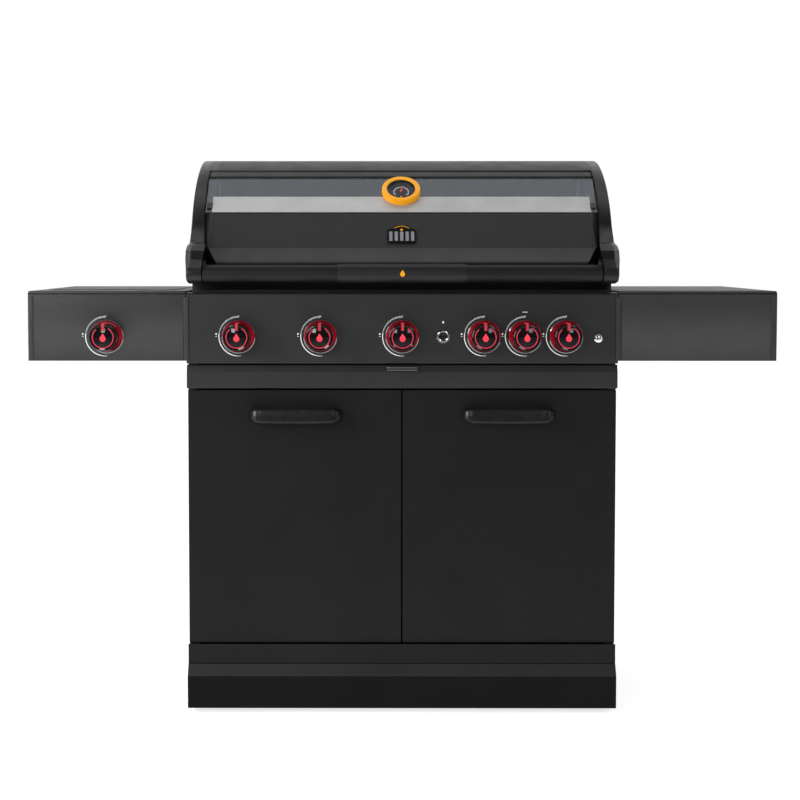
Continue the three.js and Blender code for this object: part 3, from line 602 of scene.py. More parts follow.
def add_plinth():
    """Skirt with a sloped upper band; its front and sides have a darker copy of the coat, painted shade."""
    low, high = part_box("plinth")
    sheet, shoulder = 0.002, low.z + 0.072
    slope = [(low.y + 0.030, high.z), (low.y + 0.016, high.z), (low.y, shoulder)]
    band = prism("x", bent_sheet(slope, sheet), low.x, high.x)
    skirt = prism("x", rectangle((low.y, low.z), (low.y + sheet, shoulder)), low.x, high.x)
    side = [(low.y + 0.018, high.z - 0.001), (low.y + 0.0012, shoulder), (low.y + 0.0012, low.z + 0.001),
            (high.y, low.z + 0.001), (high.y, high.z - 0.001)]
    walls = [prism("x", side, x, x + sheet) for x in (low.x + 0.0005, high.x - sheet - 0.0005)]
    add_piece("plinth_skirt", joined(band, joined_plain(skirt, *walls)), [COAT, PLINTH_PAINTED_SHADE_COAT],
              "cabinet", "plinth", bevel=0.0004)


def add_cabinet():
    """Walls, doors and plinth, with screws on the back and the sides."""
    for node in ("cabinet_side_left", "cabinet_side_right", "cabinet_back"):
        keep_cad(node, COAT, 0.0007)
    # the cabinet floor and the doors take the darker copy of the coat, painted shade
    keep_cad("cabinet_floor", DOOR_PAINTED_SHADE_COAT, 0.0007)
    add_plinth()
    for side in ("left", "right"):
        keep_cad(f"door_{side}", DOOR_PAINTED_SHADE_COAT, 0.0013)
        door_handle(side)
    low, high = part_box("cabinet_back")
    rows = (low.z + 0.02, (low.z + high.z) / 2, high.z - 0.02)
    places = [(x, high.y, z) for x in (low.x + 0.012, high.x - 0.012) for z in rows]
    screw_heads("back_screws", places, (0, 1, 0))
    lower_row, upper_row = 0.135, 0.700
    for side, sign in (("left", -1), ("right", 1)):
        low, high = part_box(f"cabinet_side_{side}")
        x = low.x if sign < 0 else high.x
        places = [(x, y, z) for y in (low.y + 0.03, high.y - 0.03) for z in (lower_row, upper_row)]
        screw_heads(f"side_screws_{side}", places, (sign, 0, 0))


# ---------- casters

def add_casters():
    """Zinc forks, and wheels with a rubber tyre on a plastic hub."""
    for place in CASTERS:
        keep_cad(f"caster_fork_{place}", ZINC, 0.0006)
        low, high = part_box(f"caster_wheel_{place}")
        radius = (high.z - low.z) / 2
        half = (high.x - low.x) / 2
        tyre = [(radius * 0.62, -half * 0.8), (radius * 0.90, -half * 0.9), (radius - 0.0015, -half * 0.6)]
        tread = rounded([*tyre, (radius, 0), *[(r, -h) for r, h in reversed(tyre)]], 0.004)
        hub = [(0.0045, -half), (0.009, -half), (0.011, -half * 0.55), (radius * 0.55, -half * 0.5),
               (radius * 0.64, -half * 0.75)]
        rim = [*hub, *[(r, -h) for r, h in reversed(hub)]]
        wheel = joined(lathe(tread, 48, ring=True), lathe(rim, 48, ring=True))
        node = f"caster_wheel_{place}"
        add_piece(f"caster_tyre_{place}", wheel, [RUBBER, HANDLE_PLASTIC], node, node,
                  place=facing(centre(node), (0, 1, 0), (0, 0, 1)))


# ---------- grease tray

def add_grease_tray():
    """The tray's folded front, its pan, and the small pull under the panel."""
    low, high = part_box("grease_tray")
    face = low.y + 0.011                      # the pull stands 11 mm in front of the tray's face
    crease = high.z - 0.016
    path = rounded([(face + 0.020, high.z - 0.0006), (face + 0.006, high.z - 0.0006), (face, crease),
                    (face, low.z), (face + 0.012, low.z)], 0.0016, 4)
    add_piece("grease_tray_front", prism("x", bent_sheet(path, 0.0018), low.x, high.x), COAT,
              "grease_tray", "grease_tray", bevel=0.0004)
    half = 0.426                              # of the pan's width
    pan = shell_box((-half, face + 0.0025, low.z + 0.003), (half, high.y, low.z + 0.034), 0.006, "top")
    add_piece("grease_tray_pan", pan, ZINC, "grease_tray", thickness=0.0015)
    half = 0.035                              # of the pull's width
    tab = rounded([(-half, 0), (-half, -0.016), (half, -0.016), (half, 0)], 0.006, 6)
    pull = prism("z", [(x, face + 0.0030 + y * 0.85) for x, y in tab], high.z - 0.0068, high.z - 0.0048)
    lip_top, lip_low = (low.y + 0.0075, high.z - 0.0052), (low.y, high.z - 0.0115)
    lip = prism("x", bent_sheet([lip_top, lip_low], 0.0016), 0.002 - half, half - 0.002)
    add_piece("grease_tray_pull", joined_plain(pull, lip), PULL_STEEL, "grease_tray", bevel=0.0004)


# ---------- control panel and knobs

def knob_arc(node, aside):
    """Printed arc round a knob: hatched and wide towards the top, a plain line lower down."""
    radius, plain, wide = 0.0433, 0.0019, 0.0046      # of the arc, of its line, of its hatching
    hatch_start, hatch_end, line_end = 90, 170, 276
    steps = 60
    fade = arc((0, 0), radius, hatch_end + 2, line_end, steps)
    widths = [plain * min(1.0, 0.25 + (steps - i) / 22) for i in range(steps + 1)]
    outer = [tuple(Vector(p) * (1 + w / 2 / radius)) for p, w in zip(fade, widths)]
    inner = [tuple(Vector(p) * (1 - w / 2 / radius)) for p, w in zip(fade, widths)]
    parts = [ink([*inner, *reversed(outer)])]
    ticks = 20
    for i in range(ticks):
        down = i / (ticks - 1)
        middle = hatch_start + (hatch_end - hatch_start) * down
        width = wide + (plain - wide) * down ** 0.8
        slant, half = 2.2, 0.8
        low, high = radius - width / 2, radius + width / 2
        parts.append(ink([*ellipse((0, 0), low, low, (middle + slant - half, middle + slant + half)),
                          *ellipse((0, 0), high, high, (middle - slant + half, middle - slant - half))]))
    parts.append(ink(rectangle((-0.0512, -0.0005), (-0.0475, 0.0005))))
    parts.append(drop(0.0034, 0.00002, 0.00012, 0.0050, -0.0495))
    add_piece(f"{node}_print", joined_plain(*parts), PRINT_PAINTED_GLOW, "cabinet", place=front_of(node, aside))


def add_knob(node):
    """Gloss black cap with a lit ring, pointer and mark over a lit red skirt with painted shade below, and
    a chrome base ring.
    """
    low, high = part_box(node)
    reach = FRONT - low.y
    base = (high.x - low.x) / 2
    face, crown = 0.0288, 0.0226              # radii of the cap and of its domed middle
    at = front_of(node)
    dome = [(crown * t, reach - 0.0012 - (crown * t) ** 2 / 0.18) for t in (1, 0.83, 0.66, 0.5, 0.33, 0.16)]
    body = [(0, 0.0175), (face + 0.0012, 0.0175), (face + 0.0010, reach - 0.006),
            *ellipse((face - 0.0016, reach - 0.0045), 0.0026, 0.0028, (0, 22, 45, 68, 90)),
            (face - 0.0050, reach - 0.0024), *dome, (0, reach - 0.0012)]
    add_piece(f"{node}_cap", lathe(body, 96), GLOSS, node, node, place=at, facet=9)
    skirt = [(0, 0.0045), (base - 0.0006, 0.0045), (base - 0.0008, 0.0085),
             *[(base - 0.0010 - 0.0060 * t, 0.0085 + 0.0097 * t ** 0.7) for t in (0.15, 0.35, 0.6, 0.8, 1)],
             (0, 0.0184)]
    add_piece(f"{node}_skirt", lathe(skirt, 96), SKIRT_GLOW_PAINTED_SHADE, node, place=at)
    rim = [(base - 0.010, 0.0012), (base + 0.0006, 0.0012), (base + 0.0013, 0.0022),
           (base + 0.0009, 0.0048), (base - 0.0008, 0.0062), (base - 0.010, 0.0055)]
    add_piece(f"{node}_base_ring", lathe(rim, 96, ring=True), DARK_CHROME, node, place=at)
    ring = [*arc((0, 0), 0.0217, 60, -230, 90), *arc((0, 0), 0.0236, -230, 60, 90)]
    add_piece(f"{node}_ring", prism("z", ring, reach - 0.0045, reach - 0.0016), RING_GLOW, node,
              place=at, bevel=0.0003)
    tip = reach - 0.0009
    strip = rounded([(0.0150, tip), (face - 0.0005, tip), (face + 0.0024, tip - 0.0022),
                     (face + 0.0024, 0.0150)], 0.0025, 5)
    outline = bent_sheet(strip, -0.0032)
    add_piece(f"{node}_pointer", prism("x", outline, -0.0031, 0.0031), POINTER_GLOW, node,
              place=at, bevel=0.0003)
    add_piece(f"{node}_mark", drop(0.0130, reach - 0.0030, reach - 0.0007, -0.0025), MARK_GLOW, node,
              place=at, bevel=0.0002)


def add_ignition():
    """Chrome collar with concentric steps round a black push button."""
    at = front_of("button_collar")
    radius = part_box("button_collar")[1].x - centre("button_collar").x
    collar = [(0.0084, -0.006), (0.0084, 0.0030), (0.0098, 0.0042), (0.0108, 0.0030), (0.0116, 0.0030),
              (0.0124, 0.0040), (0.0134, 0.0030), (radius - 0.0008, 0.0022), (radius, 0.0012),
              (radius, 0.0003), (0.0126, 0.0003), (0.0126, -0.006)]
    add_piece("button_collar_ring", lathe(collar, 72, ring=True), CHROME, "cabinet", "button_collar",
              place=at, facet=24)
    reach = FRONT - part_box("ignition_button")[0].y
    button = [(0, -0.010), (0.0080, -0.010), (0.0080, reach - 0.0014), (0.0074, reach - 0.0004),
              (0.0062, reach), (0.0045, reach - 0.0008), (0, reach - 0.0014)]
    add_piece("ignition_button_cap", lathe(button, 64), GLOSS, "ignition_button", "ignition_button",
              place=at)
    add_piece("ignition_print", drop(0.0040, 0.00002, 0.00014, 0.031), PRINT_PAINTED_GLOW, "cabinet", place=at)


def add_socket():
    """Small chrome dome with a slanting slot."""
    low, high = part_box("panel_socket")
    radius = (high.x - low.x) / 2
    reach = FRONT - low.y
    dome = [(0, 0.0003), (radius, 0.0003), (radius, 0.0011),
            *[(radius * math.cos(a), 0.0011 + (reach - 0.0011) * math.sin(a))
              for a in (0.25, 0.5, 0.75, 1.0, 1.25)], (0, reach)]
    slot = block((-0.0065, -0.0011, reach - 0.0022), (0.0065, 0.0011, reach + 0.002))
    moved(slot, Matrix.Rotation(math.radians(38), 4, "Z"))
    add_piece("panel_socket_dome", carved(lathe(dome, 48), slot), CHROME, "cabinet", "panel_socket",
              place=front_of("panel_socket"))


def add_controls():
    """Panel with a rounded top edge, knobs in their printed arcs, ignition button and socket."""
    path = [(PANEL_HIGH.y, PANEL_HIGH.z), (FRONT, PANEL_HIGH.z), (FRONT, PANEL_LOW.z),
            (FRONT + 0.030, PANEL_LOW.z)]
    path = [*rounded(path[:3], 0.0075, 10)[:-1], *rounded(path[1:], 0.0020, 4)[1:]]
    add_piece("control_panel_sheet", prism("x", bent_sheet(path, 0.002), PANEL_LOW.x, PANEL_HIGH.x),
              COAT, "cabinet", "control_panel", bevel=0.0004)
    for node in KNOBS:
        add_knob(node)
        knob_arc(node, -0.004 if node == "knob_side" else 0)   # the side knob's is printed off centre
    add_piece("rear_knob_mark", ink(rectangle((-0.006, 0.0530), (0.006, 0.0542))), PRINT_PAINTED_GLOW, "cabinet",
              place=front_of("knob_rear"))
    add_ignition()
    add_socket()


# ---------- firebox and what it holds

def add_firebox():
    keep_cad("firebox", INSIDE_COAT, 0.0010)
    keep_cad("gas_manifold", ZINC, 0.0005)
    keep_cad("warming_rack", STAINLESS, 0.0010)
    keep_cad("rear_burner", CERAMIC, 0.0008)
    for place in ("left", "middle", "right"):
        keep_cad(f"cooking_grate_{place}", IRON, 0.0022)
    for i in range(1, 6):
        keep_cad(f"burner_{i}", STAINLESS, 0.0004)
        keep_cad(f"flame_tamer_{i}", STAINLESS, 0.0006)


# ---------- side shelves

SHELF_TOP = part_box("shelf_right")[1].z
WELL_HALF_WIDTH, WELL_HALF_DEPTH = 0.142, 0.187    # of the opening over the side burner


def without_well(bm, low, high):
    """Opens the top face between these two corners."""
    for k, normal in ((0, (1, 0, 0)), (1, (0, 1, 0))):
        for corner in (low, high):
            top = [f for f in bm.faces if f.normal.z > 0.99]
            geometry = [*top, *{e for f in top for e in f.edges}, *{v for f in top for v in f.verts}]
            bmesh.ops.bisect_plane(bm, geom=geometry, plane_co=corner, plane_no=normal)
    middles = [(face, face.calc_center_median()) for face in bm.faces if face.normal.z > 0.99]
    lost = [face for face, middle in middles if all(low[k] < middle[k] < high[k] for k in (0, 1))]
    bmesh.ops.delete(bm, geom=lost, context="FACES")


def shelf_edging(side, low, high):
    """Bead with a dark groove, a strip of painted shadow, along the top of the shelf's front, and a strip
    down its outer end.
    """
    wide = 0.011                              # width of the strip
    groove = (high.z - 0.0072, high.z - 0.0050)
    bead = (high.z - 0.0115, groove[0])
    end = (low.x, low.x + wide) if side == "left" else (high.x - wide, high.x)
    face, back = low.y - 0.0012, low.y + 0.001
    top = block((low.x, face, bead[0]), (high.x, back, bead[1]), 0.0009)
    upright = block((end[0], face, low.z), (end[1], back, bead[0]), 0.0007)
    # a dark strip in the groove under the bead: painted shadow
    groove_shadow_strip = block((low.x, low.y - 0.0002, groove[0]), (high.x, back, groove[1]))
    add_piece(f"shelf_{side}_edging", joined(joined_plain(top, upright), groove_shadow_strip),
              [SHELF_COAT, HANDLE_PLASTIC], "cabinet")


def add_end_trims():
    """Flat trim over each joint between the panel and a shelf, on a wider dark strip that is painted shadow
    along its edges.
    """
    for side in ("left", "right"):
        shelf_low, shelf_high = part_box(f"shelf_{side}")
        seam = (shelf_high.x + PANEL_LOW.x) / 2 if side == "left" else (shelf_low.x + PANEL_HIGH.x) / 2
        low, high = PANEL_LOW.z + 0.0065, PANEL_HIGH.z - 0.0090
        half, wider = 0.0055, 0.0068          # half widths of the trim and of the dark strip of painted shadow
        joint_shadow_strip = block((seam - wider, FRONT - 0.0003, low), (seam + wider, FRONT + 0.001, high))
        trim = block((seam - half, FRONT - 0.0013, low), (seam + half, FRONT, high), 0.0005)
        add_piece(f"end_trim_{side}", joined(trim, joint_shadow_strip), [SHELF_COAT, HANDLE_PLASTIC], "cabinet")


def add_shelves():
    """Folded sheets; the left one is open over the side burner."""
    middle = centre("side_trivet")
    for side in ("left", "right"):
        low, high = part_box(f"shelf_{side}")
        high = Vector((high.x, high.y, SHELF_TOP))
        bm = shell_box(low, high, 0.0028)
        if side == "left":
            half = Vector((WELL_HALF_WIDTH, WELL_HALF_DEPTH, 0))
            bm.normal_update()
            without_well(bm, middle - half, middle + half)
        add_piece(f"shelf_{side}_sheet", bm, SHELF_COAT, "cabinet", f"shelf_{side}",
                  thickness=0.002)
        shelf_edging(side, low, high)
    add_end_trims()
    keep_cad("side_burner", STAINLESS, 0.0005)
    keep_cad("side_trivet", IRON, 0.0012)
    cap = [(0, 0.905), (0.0440, 0.905), (0.0450, 0.908), (0.0400, 0.912), (0.0200, 0.914), (0, 0.9142)]
    add_piece("side_burner_cap", lathe(cap, 64), ZINC, "cabinet",
              place=Matrix.Translation((middle.x, middle.y, 0)))
    add_cover()


def add_cover():
    """Side burner's cover, flush in the shelf, with its two hinge barrels."""
    low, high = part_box("side_burner_cover")
    x, y, z = JOINTS["side_cover_hinge"]["pos_m"]
    half, back = WELL_HALF_WIDTH - 0.0015, y - 0.005
    plate = shell_box((x - half, low.y, SHELF_TOP - 0.002), (x + half, back, high.z), 0.0014)
    add_piece("side_cover_plate", plate, SHELF_COAT, "side_burner_cover", "side_burner_cover",
              thickness=0.0018)
    barrel, pin = (arc((y, z), radius, 0, 345, 23) for radius in (0.0032, 0.0018))
    parts = []
    for sign in (-1, 1):
        inner, arm_end, outer, pin_end = (x + sign * reach for reach in (0.116, 0.134, 0.138, 0.1465))
        parts.append(prism("x", barrel, *sorted((inner, outer))))
        parts.append(prism("x", pin, *sorted((outer, pin_end))))
        arm = sorted((inner, arm_end))
        parts.append(block((arm[0], back - 0.0014, z - 0.0015), (arm[1], y, SHELF_TOP - 0.0012), 0.0004))
    add_piece("side_cover_hinge", joined_plain(*parts), ZINC, "side_burner_cover", bevel=0.0003)


# ---------- lid

WINDOW_TOP = (-0.036, 1.198)
WINDOW_BOTTOM = (-0.131, 1.113)
CREASE = (-0.193, 1.033)
FLARE = (-0.243, 0.998)
RETURN = (-0.190, 0.985)
SKIRT_END = (-0.190, 0.941)
PANE = 0.005                                 # thickness of the window's glass
LEDGE = 0.010                                # width of the ledge that the glass lies on
SHELL_END = CAP_INNER - 0.0003               # ends of the lid's sheet at the window
SHELL_LOW_END = CAP_INNER - 0.0080           # and at the crease
FLARE_END = CAP_INNER - 0.0380               # ends of the flare, inside the handle's ears


def crown(steps):
    return bezier((0.135, LID_TOP), (0.060, LID_TOP), (-0.130, 1.195), (-0.180, 1.052), steps)


def rear(steps, low):
    return bezier((0.274, low), (0.276, 1.120), (0.245, LID_TOP), (0.135, LID_TOP), steps)


def on_window(up, sunk):
    """A point on the glass's outer face, up from its lower edge, and sunk below that face."""
    bottom, along = Vector(WINDOW_BOTTOM), (Vector(WINDOW_TOP) - Vector(WINDOW_BOTTOM)).normalized()
    return tuple(bottom + along * up + Vector((along.y, -along.x)) * sunk)


WINDOW_HEIGHT = (Vector(WINDOW_TOP) - Vector(WINDOW_BOTTOM)).length


def lid_shell():
    """Sheet of the lid with the sunk ledge and the opening for the glass, and the handle's fairing."""
    sunk = PANE + 0.0004
    groove = (WINDOW_TOP[0] + 0.027, WINDOW_TOP[0] + 0.035)   # across the top, above the glass
    curve = [p for p in crown(160)[1:] if p[0] > WINDOW_TOP[0] + 0.001]
    sheet_top = [p for p in curve if p[0] > groove[1]]
    trough = [p for p in offset([*curve, WINDOW_TOP], 0.004) if groove[0] < p[0] < groove[1]]
    band = [p for p in offset([*curve, WINDOW_TOP], 0.0012) if p[0] < groove[0]]
    upper = [*rear(30, 1.000), *sheet_top, *trough, *band]
    ledge = [on_window(WINDOW_HEIGHT, sunk), on_window(WINDOW_HEIGHT - LEDGE, sunk),
             on_window(LEDGE, sunk), on_window(0.0006, sunk)]
    lower = rounded([on_window(-0.0010, 0.0004), CREASE, FLARE, RETURN, SKIRT_END], 0.006, 6)
    path = [*upper, *ledge, *lower]
    first_open = len(upper) + 1
    rows = []
    for i, (y, z) in enumerate(path):
        below_window = i >= len(upper) + len(ledge)
        sunken = share((WINDOW_BOTTOM[1] - z) / (WINDOW_BOTTOM[1] - CREASE[1]))
        end = SHELL_END + (SHELL_LOW_END - SHELL_END) * (sunken if below_window else 0)
        inner, end_y = 0.425, y
        if below_window and z < CREASE[1] + 0.001:
            flared = share((CREASE[1] - z) / (CREASE[1] - FLARE[1]))
            inner = 0.432 + (FLARE_END - 0.432) * flared
            end_y = max(y, RETURN[0] - 0.003)
        if below_window and z < FLARE[1] and y > RETURN[0] - 0.004:
            end = CAP_INNER + 0.012                            # the skirt reaches into the caps
        rows.append([(-end, end_y, z), (-inner, y, z), (inner, y, z), (end, end_y, z)])
    bm, lines = grid(rows)
    pane = {v for line in lines[first_open:first_open + 2] for v in line[1:3]}
    lost = [f for f in bm.faces if all(v in pane for v in f.verts)]
    bmesh.ops.delete(bm, geom=lost, context="FACES")
    bmesh.ops.reverse_faces(bm, faces=bm.faces)
    add_piece("lid_sheet", bm, COAT, "lid", "lid_shell", thickness=0.0025, facet=24)


def lid_cap():
    """Right end cap as a solid: rounded rim, outward-swelling handle ear and boss, hollow inside."""
    flat = CAP_OUTER - 0.0070
    hinge_y, hinge_z = JOINTS["lid_hinge"]["pos_m"][1:]
    bottom = 0.954
    boss = arc((HANDLE.y, HANDLE.z), 0.0205, 178, 275, 14)
    ear = rounded([(-0.188, 1.0475), (-0.206, 1.046), (-0.243, 1.041), (-0.272, 1.027), (-0.2810, 1.008),
                   (-0.2840, 0.9895), boss[0]], 0.006, 5)[1:-1]
    back = [(hinge_y + 0.024 * math.cos(a), hinge_z + 0.024 * math.sin(a))
            for a in (-1.5, -1.1, -0.7, -0.3, 0.0)]
    outline = [*crown(44)[1:-3], *ear, *boss, (-0.240, bottom), (0.0, bottom), *back,
               *rear(26, hinge_z + 0.012)]
    rows = [[], [], [], [], []]               # from the inner face round the rim to the outer face
    closed = [outline[-1], *outline, outline[0]]
    for before, point, after in zip(closed, outline, closed[2:]):
        y, z = point
        along = Vector(after) - Vector(before)
        inward = Vector((-along.y, along.x)).normalized()
        on_ear = share((-y - 0.205) / 0.045) * share((z - 0.984) / 0.014)
        narrow = share((0.05 - y) / 0.15) * share((1.113 - z) / 0.070)
        x_in = CAP_INNER - 0.0075 * narrow - 0.0065 * on_ear * share((z - 0.99) / 0.04)
        direction = (inward * (1 - on_ear) + Vector((1, 0)) * on_ear).normalized()
        steps = ((x_in, 0), (flat - 0.0040 - 0.0065 * on_ear, 0),
                 (flat - 0.0012 + 0.0040 * on_ear, 0.0014 + 0.017 * on_ear),
                 (flat + 0.0020 * on_ear, 0.0045 + 0.034 * on_ear),
                 (flat + 0.0002, 0.0075 + 0.060 * on_ear))
        for row, (x, reach) in zip(rows, steps):
            row.append((x, *(Vector(point) + direction * reach)))
    bm, lines = grid(rows, closed=True)
    bm.faces.new(lines[0])
    bm.faces.new(reversed(lines[-1]))
    bmesh.ops.recalc_face_normals(bm, faces=bm.faces)
    under = offset([(0.274, hinge_z), *rear(20, hinge_z + 0.012), *crown(24)[1:]], 0.010)
    hollow = prism("x", [*under, (-0.200, 1.014), (-0.236, 0.990), (-0.236, 0.930), (0.290, 0.930),
                         (0.290, hinge_z)], 0.400, flat - 0.0030)
    return carved(bm, hollow)


def add_caps():
    right = lid_cap()
    left = moved(right.copy(), MIRROR)
    for side, bm in (("right", right), ("left", left)):
        add_piece(f"lid_end_{side}", bm, CASTING, "lid", f"lid_cap_{side}", facet=30)


def window_slab(low, high, under, over, left, right):
    """A flat bar along the window: from low to high up the glass, and from under to over its face."""
    outline = [on_window(low, under), on_window(low, over), on_window(high, over), on_window(high, under)]
    return prism("x", outline, left, right)


def add_glass():
    """Glass, the pale trim over its lower part and the dark clips at the trim's ends."""
    half = CAP_INNER - 0.0015
    add_piece("lid_window", window_slab(0.0008, WINDOW_HEIGHT - 0.0045, PANE, 0, -half, half), GLASS,
              "lid", "lid_glass", bevel=0.0008)
    half = CAP_INNER - 0.0160
    add_piece("window_strip", window_slab(0.0010, 0.0555, 0.0002, -0.0012, -half, half), TRIM, "lid",
              bevel=0.0004)
    inner, outer = half - 0.0010, half + 0.0110
    clips = [window_slab(0.0130, 0.0330, 0.0002, -0.0022, left, right)
             for left, right in ((-outer, -inner), (inner, outer))]
    add_piece("window_strip_clips", joined_plain(*clips), HANDLE_PLASTIC, "lid", bevel=0.0005)


def add_gauge():
    """Amber gauge on the glass: case, dial with a scale, lens and needle."""
    at = facing(NEEDLE_PIVOT, (1, 0, 0), GLASS_UP)
    radius, dial, height, floor = 0.0440, 0.0325, 0.015, 0.0070
    case = [(0, 0.0004), (radius - 0.0012, 0.0004), (radius, 0.0020), (radius, height - 0.0030),
            *ellipse((radius - 0.0030, height - 0.0030), 0.0030, 0.0030, (20, 45, 70, 90)),
            (dial + 0.0016, height), (dial, height - 0.0014), (dial, floor), (0, floor)]
    add_piece("gauge_bezel", lathe(case, 128), AMBER_PAINTED_GLOW, "lid", "gauge_case", place=at)
    lining = [(dial - 0.0022, floor + 0.0001), (dial - 0.0001, floor + 0.0001),
              (dial - 0.0001, height - 0.0018), (dial - 0.0012, height - 0.0018)]
    add_piece("gauge_lining", lathe(lining, 96, ring=True), HANDLE_PLASTIC, "lid", place=at)
    under, level, edge = floor + 0.0001, floor + 0.0005, dial - 0.0023
    add_piece("gauge_dial", lathe([(0, under), (edge, under), (edge, level), (0, level)], 96), DIAL, "lid",
              place=at)
    scale, pivot, first, last = 0.0170, (0.0, -0.0045), -40, 220
    parts = [prism("z", [*arc(pivot, scale, first, last, 60), *arc(pivot, scale + 0.0009, last, first, 60)],
                   level, level + 0.0002)]
    ticks = 14
    for i in range(ticks):
        angle = math.radians(first + (last - first) * i / (ticks - 1))
        long = 0.0034 if i % 2 == 0 else 0.0020
        out = Vector((math.cos(angle), math.sin(angle)))
        across = Vector((-out.y, out.x)) * 0.0005
        start, end = Vector(pivot) + out * (scale - long), Vector(pivot) + out * scale
        corners = [tuple(p) for p in (start - across, end - across, end + across, start + across)]
        parts.append(prism("z", corners, level, level + 0.0002))
    add_piece("gauge_scale", joined_plain(*parts), PRINT_PAINTED_GLOW, "lid", place=at)
    add_piece("gauge_mark", drop(0.0050, level, level + 0.0003, -0.0225), AMBER_PAINTED_GLOW, "lid", place=at)
    lens = [(0, height - 0.0030), (dial - 0.0013, height - 0.0030), (dial - 0.0013, height - 0.0020),
            (dial * 0.6, height - 0.0012), (0, height - 0.0009)]
    add_piece("gauge_lens", lathe(lens, 96), LENS, "lid", place=at)
    probe = [(0, -0.040), (0.0030, -0.040), (0.0038, -0.038), (0.0038, 0.0003), (0, 0.0003)]
    add_piece("gauge_probe", lathe(probe, 32), STAINLESS, "lid", place=at)
    turn = Matrix.Rotation(-0.26, 4, "Z")     # at rest it points a little to the right of up
    level = floor + 0.0011
    hand = prism("z", [(-0.0012, -0.006), (0.0012, -0.006), (0.0005, 0.0165), (-0.0005, 0.0165)],
                 level, level + 0.0007)
    boss = lathe([(0, level - 0.0004), (0.0028, level - 0.0004), (0.0028, level + 0.0012),
                  (0.0018, level + 0.0018), (0, level + 0.0018)], 32)
    add_piece("gauge_hand", moved(joined_plain(hand, boss), turn), NEEDLE_RED_PAINTED_GLOW, "gauge_needle",
              "gauge_needle", place=at, bevel=0.0001)


def add_badge():
    """Plain black badge with an arched top, five silver bars, an amber arc and an amber drop."""
    slope = (Vector(on_window(-0.001, 0)) - Vector(CREASE)).normalized()
    at = facing(centre("lid_badge"), (1, 0, 0), (0, slope.x, slope.y))
    plate = rounded([(-0.0330, -0.0290), (0.0330, -0.0290), (0.0330, 0.0080), (0.0210, 0.0120),
                     (0.0120, 0.0205), (-0.0120, 0.0205), (-0.0210, 0.0120), (-0.0330, 0.0080)],
                    0.0060, 5, closed=True)
    add_piece("badge_plate", prism("z", plate, -0.0010, 0.0012), GLOSS, "lid", "lid_badge",
              place=at, bevel=0.0004)
    under, over = 0.0010, 0.0018              # the raised marks, from the badge's middle
    pitch, half = 0.0122, 0.0036
    bars = []
    for column in (-2, -1, 0, 1, 2):
        x = column * pitch
        outline = rounded(rectangle((x - half, -0.0245), (x + half, 0.0020)), 0.0020, 4, closed=True)
        bars.append(prism("z", outline, under, over))
    add_piece("badge_bars", joined_plain(*bars), BADGE_SILVER, "lid", place=at, bevel=0.0002)
    sweep = [*arc((0, -0.0070), 0.0240, 48, 132, 24), *arc((0, -0.0070), 0.0251, 132, 48, 24)]
    add_piece("badge_arc", prism("z", sweep, under, over), AMBER_PAINTED_GLOW, "lid", place=at)
    add_piece("badge_drop", drop(0.0052, under, over, 0.0068), AMBER_PAINTED_GLOW, "lid", place=at)


def add_handle():
    """Handle bar between the ears, and the knurled grip sleeve with its small amber drop."""
    radius = (HANDLE_HIGH.z - HANDLE_LOW.z) / 2
    end = CAP_INNER - 0.0090
    at = facing(HANDLE, (0, 1, 0), (0, 0, 1))
    neck = [(0, -end - 0.007), (0.0135, -end - 0.007), (0.0135, -end - 0.001), (radius - 0.0012, -end),
            (radius, -end + 0.0014)]
    bar = [*neck, *[(r, -h) for r, h in reversed(neck)]]
    add_piece("handle_tube", lathe(bar, 96), BAR_COAT, "lid", "lid_handle_bar", place=at)
    low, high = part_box("lid_grip")
    half, sleeve = (high.x - low.x) / 2, (high.z - low.z) / 2
    around, pitch, fine = 30, 0.0043, 4       # diamonds round the sleeve, their pitch, steps for each
    along = round(2 * half / pitch) * fine
    angles = [2 * math.pi * k / (around * fine) for k in range(around * fine)]
    circle = [(math.cos(a), math.sin(a)) for a in angles]
    bore = [[((radius + 0.0002) * c, (radius + 0.0002) * s, x) for c, s in circle] for x in (-half, half)]
    rows = []
    for i in range(along + 1):
        x = -half + 2 * half * i / along
        height = 0.0009 * share((half - abs(x) - 0.003) / 0.002)     # of the diamonds, none at the ends
        row = []
        for k, (c, s) in enumerate(circle):
            u, v = math.pi * i / fine, math.pi * k / fine
            r = sleeve - 0.0010 + height * abs(math.sin(u + v) * math.sin(u - v))
            row.append((r * c, r * s, x))
        rows.append(row)
    bm, _ = grid([bore[0], *rows, bore[1]], closed=True)
    bmesh.ops.recalc_face_normals(bm, faces=bm.faces)
    add_piece("handle_grip", bm, GRIP_PLASTIC, "lid", "lid_grip", place=at, facet=70)
    tilt = Vector((0, -math.cos(0.10), math.sin(0.10)))
    at = facing(HANDLE + tilt * (sleeve - 0.0006), (1, 0, 0), tilt.cross(Vector((1, 0, 0))))
    add_piece("grip_mark", drop(0.0105, 0, 0.0009, -0.004), AMBER_PAINTED_GLOW, "lid", place=at, bevel=0.0002)


def add_lid():
    lid_shell()
    add_caps()
    add_glass()
    add_gauge()
    add_badge()
    add_handle()


# ---------- floor, light and camera

def add_floor():
    """Pale floor that glows under and behind the grill and falls off towards the user."""
    bm = bmesh.new()
    bmesh.ops.create_grid(bm, x_segments=24, y_segments=24, size=14)
    floor = new_object("floor", mesh_of(bm, "floor"))
    paint = Finish("pale_floor", (0.86, 0.86, 0.86), 0.7, Specular_IOR_Level=0.2)
    paint.vary_colour(paint.noise(2, 2), (0.85, 0.85, 0.85), (0.87, 0.87, 0.87))
    paint.shader.inputs["Emission Color"].default_value = (1, 1, 1, 1)
    ramp = paint.along_y(-2.0, -0.9)          # dim 2 m in front of the grill, bright from 0.9 m on
    ramp.interpolation_type = "SMOOTHSTEP"
    ramp.inputs["To Max"].default_value = 0.74
    paint.links.new(ramp.outputs["Result"], paint.shader.inputs["Emission Strength"])
    floor.data.materials.append(paint.material)


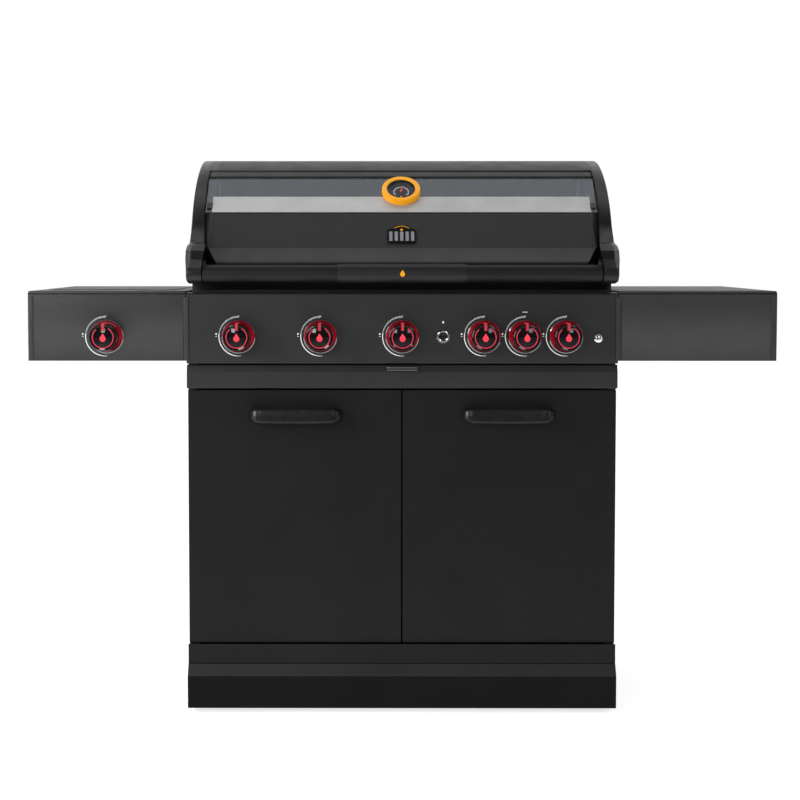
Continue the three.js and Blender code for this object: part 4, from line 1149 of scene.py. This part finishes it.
def add_world():
    """White backdrop behind the grill, a grey ceiling and dim surroundings on the user's side."""
    world = bpy.data.worlds.new("studio")
    bpy.context.scene.world = world
    world.use_nodes = True
    nodes, links = world.node_tree.nodes, world.node_tree.links
    split = nodes.new("ShaderNodeSeparateXYZ")
    links.new(nodes.new("ShaderNodeTexCoord").outputs["Generated"], split.inputs["Vector"])
    colour = None
    for axis, start, end, grey in (("Y", -0.20, 0.35, 1.0), ("Z", 0.45, 0.90, 0.26)):
        ramp = new_node(nodes, "MapRange", From_Min=start, From_Max=end)
        ramp.interpolation_type = "SMOOTHSTEP"
        links.new(split.outputs[axis], ramp.inputs["Value"])
        mix = nodes.new("ShaderNodeMix")
        mix.data_type = "RGBA"
        mix.inputs["A"].default_value = (0.11, 0.11, 0.115, 1)
        mix.inputs["B"].default_value = (grey, grey, grey, 1)
        links.new(ramp.outputs["Result"], mix.inputs["Factor"])
        if colour is not None:
            links.new(colour, mix.inputs["A"])
        colour = mix.outputs["Result"]
    links.new(colour, nodes["Background"].inputs["Color"])


def area_light(name, place, target, size, power):
    light = bpy.data.lights.new(name, "AREA")
    light.shape = "RECTANGLE"
    light.size, light.size_y = size
    light.energy = power
    obj = new_object(name, light)
    obj.location = place
    obj.rotation_euler = (Vector(target) - Vector(place)).to_track_quat("-Z", "Y").to_euler()


def add_lights():
    area_light("left_softbox", (-2.3, -1.5, 1.5), (0, -0.2, 0.9), (0.9, 1.4), 36)
    area_light("right_softbox", (2.6, -1.8, 1.4), (0, -0.2, 0.8), (0.8, 1.4), 4)
    area_light("top_softbox", (0, 0.25, 3.0), (0, 0.1, 0.9), (3.2, 1.1), 11.5)
    area_light("front_left_softbox", (-1.15, -3.4, 1.75), (0, -0.3, 0.84), (0.55, 0.55), 11.4)
    area_light("front_right_softbox", (1.15, -3.4, 1.75), (0, -0.3, 0.84), (0.55, 0.55), 5)


def add_camera():
    """Long lens from the front, a little above the knobs; the shift keeps the uprights parallel."""
    camera = bpy.data.cameras.new("camera")
    camera.sensor_width = 36
    camera.lens = 71.28
    camera.shift_x = 0.0389
    camera.shift_y = -0.0793
    obj = new_object("camera", camera)
    obj.location = (-0.0612, -3.7324, 1.0174)
    pitch, yaw = math.radians(2.95), math.radians(-0.20)
    obj.rotation_euler = (math.pi / 2 - pitch, 0, -yaw)
    bpy.context.scene.camera = obj


add_cabinet()
add_casters()
add_grease_tray()
add_controls()
add_firebox()
add_shelves()
add_lid()
add_floor()
add_world()
add_lights()
add_camera()
bpy.context.scene.view_settings.view_transform = "Standard"
